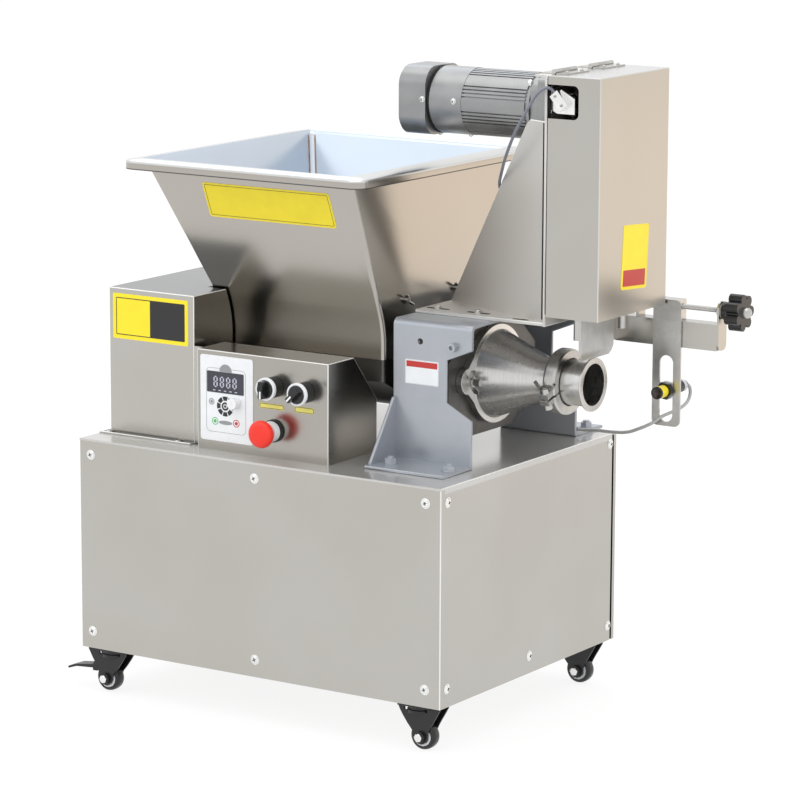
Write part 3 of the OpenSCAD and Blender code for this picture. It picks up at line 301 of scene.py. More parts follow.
def zinc_finish(name, base):
    """Zinc plate: faint spangle, cloudy blue cast and scuffs."""
    f = Finish(name)
    cloud = f.noise(16.0, 4.0, 0.6)
    return f.done(0.6, f.tones(cloud, base, 0.95, 1.04, (0.98, 1.0, 1.02)),
                  f.spread(f.streaks((30.0, 30.0, 220.0), 3.0), 0.28, 0.30),
                  f.relief(f.cells(160.0), 0.004, 0.0003))


def paint_finish(name, base, metal, rough):
    """Sprayed paint: orange peel, and a little dust in its colour."""
    f = Finish(name)
    dust = f.noise(30.0, 4.0, 0.6)
    return f.done(metal, f.tones(dust, base, 0.92, 1.08),
                  f.spread(dust, rough - 0.04, rough + 0.06),
                  f.relief(f.noise(420.0), 0.10, 0.0004))


def plastic_finish(name, base, rough, grain=700.0, depth=0.12):
    """Moulded plastic or film: fine grain, and slight colour and gloss changes."""
    f = Finish(name)
    texture = f.noise(grain)
    return f.done(0.0, f.tones(f.noise(45.0, 3.0), base, 0.97, 1.03),
                  f.spread(texture, rough - 0.05, rough + 0.07),
                  f.relief(texture, depth, 0.0003))


def glass_finish(name, base):
    """Tinted window: dark and glossy under a clear coat."""
    f = Finish(name)
    cloud = f.noise(60.0)
    f.shader.inputs["Coat Weight"].default_value = 0.3
    f.shader.inputs["Coat Roughness"].default_value = 0.05
    return f.done(0.0, f.tones(cloud, base, 0.90, 1.10), f.spread(cloud, 0.18, 0.26))


def weld_finish(name, base):
    """Heat tint beside a weld, straw to brown."""
    f = Finish(name)
    beads = f.streaks((60.0, 60.0, 300.0), 2.0)
    return f.done(1.0, f.tones(beads, base, 0.75, 1.2), f.spread(beads, 0.32, 0.48),
                  f.relief(beads, 0.3, 0.0006))


# each finish's maker, its colour or the setting that holds it, and the maker's other values
FINISHES = {
    "satin_level": (sheet_finish, "satin", LEVEL, 0.24),
    "satin_upright": (sheet_finish, "satin", UPRIGHT, 0.30, 0.18),
    "satin_stand": (sheet_finish, "stand", UPRIGHT, 0.52, 0.10),
    # painted light: a lighter, part-matt copy of the satin sheet for the cabinet's top plate
    "satin_flat": (sheet_finish, (0.60, 0.59, 0.575), FLAT, 0.20, 0.25, 0.6),
    # painted shade: a darker copy of the satin sheet for the drive cover's top
    "satin_dim": (sheet_finish, (0.20, 0.204, 0.205), FLAT, 0.20),
    # painted light: a paler copy of the satin sheet for the cutter cover's top and folds and the
    # hopper rim's top
    "satin_pale": (sheet_finish, (0.68, 0.685, 0.68), FLAT, 0.24),
    "satin_hopper": (sheet_finish, (0.46, 0.435, 0.40), LEVEL, 0.22, 0.35),
    # painted reflection of the sky on the hopper's inside
    "bright_inside": (sheet_finish, "inside", LEVEL, 0.22),
    # painted highlight: a pale, part-matt copy of the satin sheet for rounded folds and the cover's
    # foot bead
    "polished_edge": (sheet_finish, (0.88, 0.88, 0.86), LEVEL, 0.30, 0.0, 0.5),
    "satin_box": (sheet_finish, "box", LEVEL, 0.24, 0.18),
    "bright_turned": (machined_finish, "turned", (500.0, 4.0, 4.0), 0.27),
    "screw_steel": (machined_finish, (0.86, 0.86, 0.85), EVEN, 0.20),
    # dark steel of the feed barrel, and painted shade along the lower edge of the hopper's rim
    "dark_steel": (machined_finish, (0.13, 0.127, 0.122), EVEN, 0.36),
    "bright_plain": (machined_finish, "bright", EVEN, 0.28),
    "zinc_plate": (zinc_finish, "zinc"),
    "motor_paint": (paint_finish, "motor", 0.75, 0.34),
    "drive_paint": (paint_finish, "drive", 0.0, 0.42),
    "caster_coat": (paint_finish, "coat", 0.0, 0.34),
    "black_plastic": (plastic_finish, "black", 0.42),
    "gloss_black": (plastic_finish, "black", 0.22, 300.0, 0.04),
    "white_plastic": (plastic_finish, "white", 0.30, *FILM),
    "grey_film": (plastic_finish, (0.30, 0.31, 0.32), 0.34, *FILM),
    "pale_film": (plastic_finish, (0.58, 0.60, 0.62), 0.34, *FILM),
    "red_plastic": (plastic_finish, "red", 0.34, 600.0, 0.06),
    "red_film": (plastic_finish, (0.55, 0.035, 0.03), 0.34, *FILM),
    "green_film": (plastic_finish, (0.10, 0.50, 0.16), 0.34, *FILM),
    "yellow_film": (plastic_finish, "yellow", 0.32, 400.0, 0.04),
    "pale_yellow": (plastic_finish, (0.84, 0.76, 0.18), 0.34, 400.0, 0.04),
    "dark_ink": (plastic_finish, "ink", 0.36, *FILM),
    "digit_glow": (plastic_finish, (0.54, 0.55, 0.66), 0.30, 500.0, 0.02),
    "tyre_rubber": (plastic_finish, (0.012, 0.012, 0.013), 0.24, 260.0, 0.10),
    "seal_rubber": (plastic_finish, (0.02, 0.02, 0.021), 0.62, 240.0, 0.25),
    "cable_sheath": (plastic_finish, "sheath", 0.46, 900.0, 0.10),
    "blue_grey_sheath": (plastic_finish, (0.20, 0.21, 0.25), 0.42, 900.0, 0.10),
    # painted shade: a near-black finish for screw crosses, slots in the stand's plate and shadow
    # lines
    "dark_gap": (plastic_finish, (0.006, 0.006, 0.006), 0.70, 200.0, 0.10),
    "display_glass": (glass_finish, (0.030, 0.033, 0.048)),
    "lens_amber": (glass_finish, (0.030, 0.014, 0.010)),
    "weld_tint": (weld_finish, (0.42, 0.27, 0.18)),
}


def finish_of(name):
    """The finish of that name, made when it is first asked for."""
    made = bpy.data.materials.get(name + FINISH)
    if made is not None:
        return made
    maker, base, *values = FINISHES[name]
    if isinstance(base, str):
        base = getattr(bpy.context.scene.divider_colours, base)
    return maker(name, base, *values)


# MESHES


def facing(origin, right, up):
    """Maps (right, up, out) on a face to the row frame; out is right x up."""
    o = Vector(origin)
    r = Vector(right).normalized()
    u = Vector(up).normalized()
    n = r.cross(u)
    return lambda a, b, h=0.0: o + r * a + u * b + n * h


def looking(right, up):
    """Makes faces of one outlook, each from its origin."""
    return lambda x, y, z: facing((x, y, z), right, up)


front_face = looking((1, 0, 0), (0, 0, 1))
right_face = looking((0, 1, 0), (0, 0, 1))
left_face = looking((0, -1, 0), (0, 0, 1))
back_face = looking((-1, 0, 0), (0, 0, 1))
top_face = looking((1, 0, 0), (0, 1, 0))


def tilted(place, angle):
    """The same face turned by an angle in degrees about its outward axis."""
    c = math.cos(math.radians(angle))
    s = math.sin(math.radians(angle))
    return lambda a, b, h=0.0: place(a * c - b * s, a * s + b * c, h)


def moved(place, da, db):
    return lambda a, b, h=0.0: place(a + da, b + db, h)


def rectangle(left, right, low, high):
    """Outline of a rectangle between its sides."""
    return [(left, low), (right, low), (right, high), (left, high)]


def circle(radius, start, end, steps):
    """Points on an arc, angles in degrees, with both ends."""
    turn = [math.radians(start + (end - start) * k / steps) for k in range(steps + 1)]
    return [(radius * math.cos(a), radius * math.sin(a)) for a in turn]


def rounded(width, height, radius, steps=6):
    """Outline of a rectangle about its middle, with round corners."""
    out = []
    for cx, cy, start in ((1, 1, 0), (-1, 1, 90), (-1, -1, 180), (1, -1, 270)):
        x = cx * (width / 2 - radius)
        y = cy * (height / 2 - radius)
        out += [(x + a, y + b) for a, b in circle(radius, start, start + 90, steps)]
    return out


def disc(radius, steps=32, turn=0.0):
    return circle(radius, turn, turn + 360, steps)[:-1]


def arc_band(inner, outer, start, end, steps=8):
    """Outline of part of a ring, angles in degrees."""
    return circle(outer, start, end, steps) + circle(inner, end, start, steps)


class Maker:
    """Collects the faces of one piece, in millimetres, each with the number of its finish."""

    def __init__(self):
        self.points = []
        self.faces = []
        self.marks = []

    def add(self, points, faces, mark=0):
        base = len(self.points)
        self.points += [tuple(c * MM for c in p) for p in points]
        self.faces += [[base + i for i in face] for face in faces]
        self.marks += [mark] * len(faces)

    def prism(self, outline, place, low, high, mark=0):
        """An outline drawn out between two heights over a face."""
        n = len(outline)
        points = [place(a, b, h) for h in (low, high) for a, b in outline]
        walls = [[i, (i + 1) % n, n + (i + 1) % n, n + i] for i in range(n)]
        self.add(points, [list(range(n))[::-1], list(range(n, 2 * n))] + walls, mark)

    def frame(self, outer, inner, place, low, high, mark=0):
        """The band between two outlines of the same count."""
        self.rings([[place(a, b, h) for a, b in outline] for outline, h in
                    ((outer, low), (outer, high), (inner, high), (inner, low))], True, mark)

    def turned(self, profile, place, steps=40, marks=None, closed=False):
        """A profile of (radius, height) turned about a face's outward axis."""
        rows = []
        points = []
        for r, h in profile:
            if r < 1e-6:
                rows.append([len(points)] * steps)
                points.append(place(0, 0, h))
            else:
                rows.append([len(points) + k for k in range(steps)])
                points += [place(a, b, h) for a, b in disc(r, steps)]
        base = len(self.points)
        self.points += [tuple(c * MM for c in p) for p in points]
        spans = len(rows) if closed else len(rows) - 1
        for i in range(spans):
            low = rows[i]
            high = rows[(i + 1) % len(rows)]
            for k in range(steps):
                m = (k + 1) % steps
                face = [low[k], low[m], high[m], high[k]]
                face = [base + v for n, v in enumerate(face) if v not in face[:n]]
                if len(face) > 2:
                    self.faces.append(face)
                    self.marks.append(marks[i] if marks else 0)

    def rings(self, rows, closed=False, mark=0, ends=False):
        """Skins rows of points, each a loop of the same count; ends closes the outer two."""
        n = len(rows[0])
        points = [p for row in rows for p in row]
        faces = []
        for i in range(len(rows) if closed else len(rows) - 1):
            j = (i + 1) % len(rows)
            for k in range(n):
                m = (k + 1) % n
                faces.append([i * n + k, i * n + m, j * n + m, j * n + k])
        if ends:
            faces += [list(range(n)), list(range(len(points) - n, len(points)))]
        self.add(points, faces, mark)

    def tube(self, line, radius, ref, sides=12):
        """A round tube along points, closed at both ends."""
        rows = []
        line = [Vector(p) for p in line]
        for i, p in enumerate(line):
            t = (line[min(i + 1, len(line) - 1)] - line[max(i - 1, 0)]).normalized()
            u = t.cross(Vector(ref)).normalized()
            v = t.cross(u)
            rows.append([p + u * a + v * b for a, b in disc(radius, sides)])
        self.rings(rows, ends=True)

    def mesh(self, name):
        mesh = bpy.data.meshes.new(name)
        mesh.from_pydata(self.points, [], self.faces)
        mesh.polygons.foreach_set("material_index", self.marks)
        bm = bmesh.new()
        bm.from_mesh(mesh)
        bmesh.ops.recalc_face_normals(bm, faces=bm.faces)
        bm.to_mesh(mesh)
        bm.free()
        return mesh

    def piece(self, name, body, finishes, nodes=(), edge=0.0, crease=35.0):
        return place_piece(name, self.mesh(name), body, finishes, nodes, edge, crease)


def new_object(name, data):
    """An object in the scene."""
    obj = bpy.data.objects.new(name, data)
    bpy.context.scene.collection.objects.link(obj)
    return obj


def soften(obj, edge, crease, steps=2):
    """Smooth faces with sharp folds, and a rounding along the folds."""
    mesh = obj.data
    mesh.polygons.foreach_set("use_smooth", [True] * len(mesh.polygons))
    mesh.set_sharp_from_angle(angle=math.radians(crease))
    if edge > 0.0:
        rim = obj.modifiers.new("edge", "BEVEL")
        rim.width = edge
        rim.segments = steps
        rim.limit_method = "ANGLE"
        rim.angle_limit = math.radians(crease)
        rim.harden_normals = True


def place_piece(name, mesh, body, finishes, nodes=(), edge=0.0, crease=35.0, steps=2):
    """A piece in the scene that rides on a body and stands for some nodes."""
    obj = new_object(name, mesh)
    for finish in finishes:
        mesh.materials.append(finish_of(finish))
    soften(obj, edge, crease, steps)
    if body is not None:
        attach(obj, body)
    if nodes:
        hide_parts(*nodes)
    return obj


def dress(node, finish, edge=0.0, crease=30.0, steps=2):
    """A node's own shape with rounded edges and a finish, in the node's place."""
    bm = bmesh.new()
    bm.from_mesh(NODES[node].data)
    bmesh.ops.remove_doubles(bm, verts=bm.verts, dist=SAME_POINT)
    bmesh.ops.dissolve_limit(bm, angle_limit=SAME_FACE, verts=bm.verts, edges=bm.edges,
                             use_dissolve_boundaries=False)
    bmesh.ops.recalc_face_normals(bm, faces=bm.faces)
    bm.verts.index_update()
    points = [tuple(v.co) for v in bm.verts]
    faces = [[v.index for v in face.verts] for face in bm.faces]
    bm.free()
    mesh = bpy.data.meshes.new(node + "_shape")
    mesh.from_pydata(points, [], faces)
    return place_piece(node + "_dressed", mesh, BODY_OF[node], [finish], [node],
                       edge, crease, steps)


def fold(obj, width, finish="polished_edge"):
    """Rounds the long outer folds of a sheet and gives them a finish; the default finish paints a
    highlight along them.
    """
    mesh = obj.data
    bm = bmesh.new()
    bm.from_mesh(mesh)
    weight = bm.edges.layers.float.new("bevel_weight_edge")
    for edge in bm.edges:
        size = edge.calc_length()
        if len(edge.link_faces) != 2 or not edge.is_convex or size < LONG_FOLD:
            continue
        width_beside = min(2 * f.calc_area() / f.calc_perimeter() for f in edge.link_faces)
        if width_beside > BROAD_FACE and edge.calc_face_angle() > SHARP_FOLD:
            edge[weight] = 1.0
    bm.to_mesh(mesh)
    bm.free()
    mesh.materials.append(finish_of(finish))
    rim = obj.modifiers.new("fold", "BEVEL")
    rim.width = width
    rim.segments = 3
    rim.limit_method = "WEIGHT"
    rim.use_clamp_overlap = False
    rim.material = len(mesh.materials) - 1
    rim.harden_normals = True


def settle(obj):
    """Puts the result of a piece's modifiers into its own mesh."""
    graph = bpy.context.evaluated_depsgraph_get()
    shape = bpy.data.meshes.new_from_object(obj.evaluated_get(graph))
    old = obj.data
    obj.modifiers.clear()
    obj.data = shape
    bpy.data.meshes.remove(old)


def cap(obj, finish):
    """Gives the faces of a sheet that look up a finish of their own; the callers give lighter and
    darker copies of the sheet's finish, painted light and painted shade on the top.
    """
    mesh = obj.data
    mesh.materials.append(finish_of(finish))
    for face in mesh.polygons:
        if face.normal.z > 0.9:
            face.material_index = len(mesh.materials) - 1
    return obj


def pan_head(maker, place, d):
    """A pan-head screw with a dark cross on its head, painted shade standing for the cross recess.
    """
    r = d / 2
    maker.turned([(r * 1.25, 0.0), (r * 1.25, 0.5), (r * 1.02, 0.55), (r, 1.2), (r * 0.86, 2.1),
                  (r * 0.55, 2.75), (0.0, 3.0)], place, 20)
    # the cross is raised into the dome and takes the second finish, painted shade
    for turn in (20, 110):
        arm = tilted(place, turn)
        maker.prism(rounded(r * 0.95, r * 0.24, r * 0.08, 2), arm, 2.3, 2.98, 1)


def hex_head(maker, place, across, height, washer=True):
    """A hexagon head, chamfered, with or without a washer."""
    r = across / 2 / math.cos(math.radians(30))
    low = 0.0
    if washer:
        maker.turned([(across * 0.72, 0.0), (across * 0.72, 1.4), (0.0, 1.4)], place, 28)
        low = 1.4
    maker.prism(disc(r, 6, 10), place, low, low + height * 0.8)
    maker.turned([(across * 0.52, low + height * 0.8), (across * 0.46, low + height),
                  (0.0, low + height)], place, 24)


def screws(name, body, d, places, steel="bright_plain"):
    """Pan-head screws of one size, as one piece, their crosses in painted shade."""
    maker = Maker()
    for place in places:
        pan_head(maker, place, d)
    maker.piece(name, body, [steel, "dark_gap"])


def stuck_plate(name, body, place, width, height, radius, border, finishes, bands=(),
                inset=0.6):
    """A thin plate with a border, and bands as (left, right, low, high, finish number)."""
    maker = Maker()
    thick = sizes().plate_thick / MM
    maker.prism(rounded(width, height, radius), place, 0.0, thick * 0.7, 0)
    wide = width - 2 * inset
    tall = height - 2 * inset
    outer = rounded(wide, tall, max(radius - inset, border + 0.3))
    inner = rounded(wide - 2 * border, tall - 2 * border, max(radius - inset - border, 0.3))
    maker.frame(outer, inner, place, thick * 0.65, thick, 1)
    for left, right, low, high, mark in bands:
        field = moved(place, (left + right) / 2, (low + high) / 2)
        maker.prism(rounded(right - left, high - low, 0.6, 3), field, thick * 0.65,
                    thick * 0.95, mark)
    maker.piece(name, body, finishes)


def bent_line(points, steps=8):
    """A smooth line through points, in the way that the frame's cables are drawn."""
    out = []
    n = len(points)
    p = [Vector(q) for q in points]
    for i in range(n - 1):
        a = p[max(i - 1, 0)]
        b = p[i]
        c = p[i + 1]
        d = p[min(i + 2, n - 1)]
        for k in range(steps):
            t = k / steps
            out.append(0.5 * (2 * b + (c - a) * t + (2 * a - 5 * b + 4 * c - d) * t * t
                              + (3 * b - a - 3 * c + d) * t ** 3))
    out.append(p[-1])
    return out


# OPERATORS


class DIVIDER_OT_cables(bpy.types.Operator):
    """Cable of the crank's switch, and cable of the photo sensor"""

    bl_idname = "divider.cables"
    bl_label = "Cables"

    def execute(self, context):
        line = bent_line([
            (380.5, -52.5, 915.1), (378.6, -52.5, 917.4), (376.7, -52.9, 919.6),
            (371.5, -57, 922.3), (365, -61, 919.5), (356, -64, 910), (344, -66, 890),
            (322, -60, 858), (295.79, -40.54, 822.32), (275.79, -20.54, 793.32),
            (262.79, -4.54, 774.32), (256.79, 12.46, 756.32), (254.79, 26.46, 728.32),
            (248.79, 35.46, 690.32), (223, 46, 627), (222, 48, 584)])
        maker = Maker()
        maker.tube(line, 2.2, (1, -1, 0))
        cable = maker.piece("crank_switch_cable", "machine", ["blue_grey_sheath"],
                            ["prox_cable"], crease=60)

        line = bent_line([
            (457, 190.7, 476), (457, 195.5, 476), (457, 201.5, 475.4), (457, 209.5, 470.5),
            (457, 212.5, 461), (457, 206.5, 451), (457, 192.5, 445), (457, 172.5, 442),
            (457, 154.5, 441), (453, 137.5, 438), (441, 128.5, 428), (421, 128.5, 418),
            (395, 138.5, 408), (360, 157.5, 401), (325, 177.5, 396), (302, 189.5, 392),
            (290, 192.5, 390.6), (285, 192.5, 390.5), (281.3, 192.5, 390.5)])
        maker = Maker()
        maker.tube(line, 2.5, (1, 0, -1))
        cable = maker.piece("eye_cable", None, ["cable_sheath"],
                            ["sensor_cable"], crease=60)
        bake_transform(cable)
        return {"FINISHED"}


class DIVIDER_OT_cabinet(bpy.types.Operator):
    """Frame, panels and top plate of the cabinet, with their screws"""

    bl_idname = "divider.cabinet"
    bl_label = "Cabinet"

    def execute(self, context):
        dress("base_frame", "satin_level", sizes().sheet_edge)
        # the top plate takes a lighter copy of the satin sheet, painted light, and the panels'
        # folds a painted highlight
        fold(dress("top_plate", "satin_flat"), sizes().sheet_fold)
        for node in ("front_panel", "side_panels", "rear_panel"):
            fold(dress(node, "satin_level"), sizes().sheet_fold)
        places = [front_face(x, -235, z) for x in (-294, 0, 290) for z in (92, 358)]
        for y, z in ((-217, 93), (-217, 359), (229, 89), (229, 366), (3.6, 92)):
            places += [right_face(315, y, z), left_face(-315, y, z)]
        places += [back_face(x, 248, z) for x in (-297, 0, 297) for z in (78.5, 365.5)]
        screws("panel_screws", "machine", sizes().screw_head / MM, places, "screw_steel")
        return {"FINISHED"}


class DIVIDER_OT_casters(bpy.types.Operator):
    """Caster plates, forks, wheels and brake pedals"""

    bl_idname = "divider.casters"
    bl_label = "Casters"

    def execute(self, context):
        edge = sizes().part_edge
        dress("caster_plates", "caster_coat", edge)
        for corner, sx, sy in (("fl", -1, -1), ("fr", 1, -1), ("rl", -1, 1), ("rr", 1, 1)):
            dress("fork_" + corner, "caster_coat", edge)
            hub = (sx * AXLE_X, sy * AXLE_Y, AXLE_Z)
            self.wheel(corner, hub)
            self.axle(corner, hub)
            self.ears(corner, sx, sy)
        for corner in ("fl", "rl"):
            dress("pedal_" + corner, "caster_coat", edge)
        return {"FINISHED"}

    def wheel(self, corner, hub):
        """Black tread with round shoulders on a white core with a raised hub."""
        maker = Maker()
        place = back_face(*hub)
        tread = [(14.2, -8.6), (15.6, -9.0), (17.6, -8.4), (19.3, -6.6), (20.0, -3.4)]
        core = [(4.1, -9.8), (7.6, -9.8), (8.0, -9.2), (8.2, -6.0), (8.8, -5.4), (10.2, -5.4),
                (10.8, -6.0), (11.0, -8.4), (14.4, -8.6)]
        for mark, half in enumerate((tread, core)):
            profile = half + [(r, -h) for r, h in reversed(half)]
            maker.turned(profile, place, 56, [mark] * len(profile), True)
        maker.piece("wheel_tread_" + corner, "roller_" + corner, ["tyre_rubber", "white_plastic"],
                    ["wheel_" + corner])

    def ears(self, corner, sx, sy):
        """Flared cheeks of the fork, clear of the swivel's fixed race."""
        maker = Maker()
        cheek = [(-30, 62.5), (-19, 62.5), (-18.5, 56), (18.5, 56), (19, 62.5), (40, 62.5),
                 (34, 52), (28, 42), (23, 33), (19, 24), (14, 30), (2, 30), (-3, 24), (-8, 30),
                 (-14, 37), (-22, 48), (-27, 56)]
        cheek = [(sx * (KING_X + x), z) for x, z in cheek]
        for side in (-1, 1):
            y = sy * AXLE_Y + side * 11.45
            maker.prism(cheek, front_face(0, y, 0), -1.4, 1.4)
        maker.piece("fork_cheeks_" + corner, "swivel_" + corner, ["caster_coat"],
                    edge=0.0004)

    def axle(self, corner, hub):
        """Hexagon bolt through the fork, with its nut."""
        maker = Maker()
        for place in (front_face(hub[0], hub[1] - 16.6, hub[2]),
                      back_face(hub[0], hub[1] + 16.6, hub[2])):
            hex_head(maker, place, 11.0, 4.6, washer=False)
        maker.piece("axle_bolt_" + corner, "swivel_" + corner, ["screw_steel"],
                    edge=0.0003)


class DIVIDER_OT_drive(bpy.types.Operator):
    """Drive motor and reducer, and the cover over them"""

    bl_idname = "divider.drive"
    bl_label = "Drive"

    def execute(self, context):
        dress("main_motor", "drive_paint", sizes().part_edge)
        dress("reducer", "drive_paint", sizes().part_edge)
        # the cover's top takes a darker copy of its sheet, painted shade, and its folds a painted
        # highlight
        fold(cap(dress("drive_cover", "satin_level"), "satin_dim"), sizes().sheet_fold)
        places = [top_face(x, y, TOP + 1.5) for x in (-301, -175) for y in (-183, 196)]
        places += [top_face(-308, y, TOP + 1.5) for y in (-150, 10, 160)]
        screws("cover_foot_screws", "machine", 8.0, places)
        bead = rectangle(-314, -148, TOP + 1.4, TOP + 3.0)
        trim = rectangle(-147.9, -130.1, TOP + 2, TOP + 145)
        # the foot bead takes the painted highlight finish
        for name, outline, y, thick, finish, edge in (
                ("cover_foot_bead", bead, -186.5, 2.5, "polished_edge", 0.0006),
                ("cover_side_trim", trim, -175.5, 1.0, "satin_level", 0.0)):
            maker = Maker()
            maker.prism(outline, front_face(0, y, 0), 0.0, thick)
            maker.piece(name, "machine", [finish], edge=edge)
        place = front_face(-226.75, -177, 557.5)
        stuck_plate("drive_cover_plate", "machine", place, 136.5, 67, 2, 1.3,
                    ["yellow_film", "dark_ink"], [(-0.5, 61.5, -27, 27, 1)], 5.8)
        return {"FINISHED"}


class DIVIDER_OT_hopper(bpy.types.Operator):
    """Folded hopper with its rim, weld and bare plate"""

    bl_idname = "divider.hopper"
    bl_label = "Hopper"

    def ring(self, x0, x1, half, r, z):
        """One level of the hopper: a rectangle with round corners."""
        steps = sizes().corner_steps
        row = []
        for cx, cy, start in ((x1 - r, half - r, 0), (x0 + r, half - r, 90),
                              (x0 + r, r - half, 180), (x1 - r, r - half, 270)):
            row += [(cx + a, AXIS_Y + cy + b, z) for a, b in circle(r, start, start + 90, steps)]
        return row

    def level(self, part, inset, z):
        """The wall at a part of its way from the throat to the mouth."""
        x0, x1, half = (a + (b - a) * part for a, b in zip(THROAT, MOUTH))
        return self.ring(x0 + inset, x1 - inset, half - inset, CORNER - inset, z)

    def wall(self, lift, inset):
        """The sloping wall, a height above the bend."""
        return self.level(lift / RISE, inset, BEND + lift)

    def roll(self, inset):
        """The rolled bend between the upright throat and the sloping wall."""
        return [self.level(t * t * ROLL / RISE, inset, BEND - ROLL + 2 * ROLL * t)
                for t in (k / 5 for k in range(6))]

    def lip(self, out, z):
        """The rim, some way out from its inner edge; it is narrower along the sides."""
        part = out / RIM_OUT
        x0, x1, half = MOUTH
        return self.ring(x0 + SHEET - out, x1 - SHEET + out, half - SHEET + 18 * part,
                         CORNER - SHEET + 16 * part, z)

    def execute(self, context):
        rows = [self.level(0.0, 0.0, SKIRT)] + self.roll(0.0) + [self.wall(228, 0.0)]
        rows += [self.lip(out, BEND + RISE - drop) for out, drop in RIM]
        rows += [self.wall(227, SHEET)] + self.roll(SHEET)[::-1]
        rows.append(self.level(0.0, SHEET, SKIRT))
        maker = Maker()
        maker.rings(rows, True)
        count = len(rows[0])
        # rows of faces: lower edge of the rim, dark as painted shade under the lip; its top, paler
        # as painted light; and the inside, bluish as a painted reflection of the sky
        for first, last, mark in ((12, 13, 2), (14, 19, 3), (19, len(rows) - 1, 1)):
            maker.marks[first * count:last * count] = [mark] * ((last - first) * count)
        hopper = maker.piece("hopper_shell", "machine",
                             ["satin_hopper", "bright_inside", "dark_steel", "satin_pale"],
                             ["hopper"], crease=20)
        self.notch(hopper)
        self.weld()
        place = facing((-32.6, -151.7, 738), (1, 0, 0), (0, THROAT[2] - MOUTH[2], RISE))
        stuck_plate("hopper_plate", "machine", place, 221, 56.5, 5, 0.7,
                    ["yellow_film", "dark_ink"], (), 3.2)
        dress("wing_screws", "bright_plain", 0.0005)
        return {"FINISHED"}

    def notch(self, hopper):
        """Cuts the skirt where it sits over the barrel, and the holes of the wing screws."""
        maker = Maker()
        for y, z, r, x0, x1 in ((AXIS_Y, AXIS_Z, 64.5, 108, 122),
                                (AXIS_Y - 66, TOP + 218, 4.3, 108, 130),
                                (AXIS_Y + 66, TOP + 218, 4.3, 108, 130)):
            maker.prism(disc(r, 48), right_face(x0, y, z), 0.0, x1 - x0)
        cutter = new_object("skirt_cut", maker.mesh("skirt_cut"))
        cut = hopper.modifiers.new("skirt", "BOOLEAN")
        cut.object = cutter
        cut.operation = "DIFFERENCE"
        cut.solver = "EXACT"
        settle(hopper)
        bpy.data.objects.remove(cutter)
        soften(hopper, 0.0, 20)

    def weld(self):
        """A tinted line on each wall beside the inside of the far left corner."""
        maker = Maker()
        x0, _, half = THROAT
        for da, db, w, h in ((0.0, -7.0, 0.3, 1.3), (7.0, 0.0, 1.3, 0.3)):
            rows = []
            for k in range(13):
                lift = 30 + 195 * k / 12
                x = x0 + SHEET + (MOUTH[0] - x0) * lift / RISE + da
                y = AXIS_Y + half - SHEET + (MOUTH[2] - half) * lift / RISE + db
                rows.append([(a, b, BEND + lift) for a, b in rectangle(x - w, x + w, y - h, y + h)])
            maker.rings(rows)
        maker.piece("corner_weld", "machine", ["weld_tint"])


class DIVIDER_OT_feed_line(bpy.types.Operator):
    """Feed housing, auger and shaft seal"""

    bl_idname = "divider.feed_line"
    bl_label = "Feed line"

    def execute(self, context):
        dress("feed_barrel", "dark_steel", sizes().part_edge)
        dress("auger", "bright_plain", 0.0005, 40)
        dress("shaft_seal", "seal_rubber", sizes().part_edge)
        return {"FINISHED"}


class DIVIDER_OT_outlet(bpy.types.Operator):
    """Cone, nozzle, hinged clamp and their fasteners"""

    bl_idname = "divider.outlet"
    bl_label = "Outlet"

    def execute(self, context):
        edge = sizes().part_edge
        dress("cone", "bright_turned", edge)
        dress("nozzle", "bright_turned", edge, 24)
        dress("clamp_gasket", "seal_rubber", 0.0002)
        dress("clamp", "bright_plain", edge)
        dress("clamp_bolt", "bright_plain", 0.0004)
        dress("wing_nuts", "bright_plain", 0.0006)
        return {"FINISHED"}


class DIVIDER_OT_brackets(bpy.types.Operator):
    """Brackets that carry the barrel and the cutter, with bolts and a bare plate"""

    bl_idname = "divider.brackets"
    bl_label = "Brackets"

    def execute(self, context):
        fold(dress("support_brackets", "zinc_plate"), 0.0022, "zinc_plate")
        dress("bracket_bolts", "zinc_plate", 0.0005)
        place = front_face(200, -107, 512.5)
        stuck_plate("bracket_plate", "machine", place, 56, 35, 1.5, 0.4,
                    ["white_plastic", "pale_film", "red_film"], [(-26, 26, 7, 15.5, 2)])
        return {"FINISHED"}


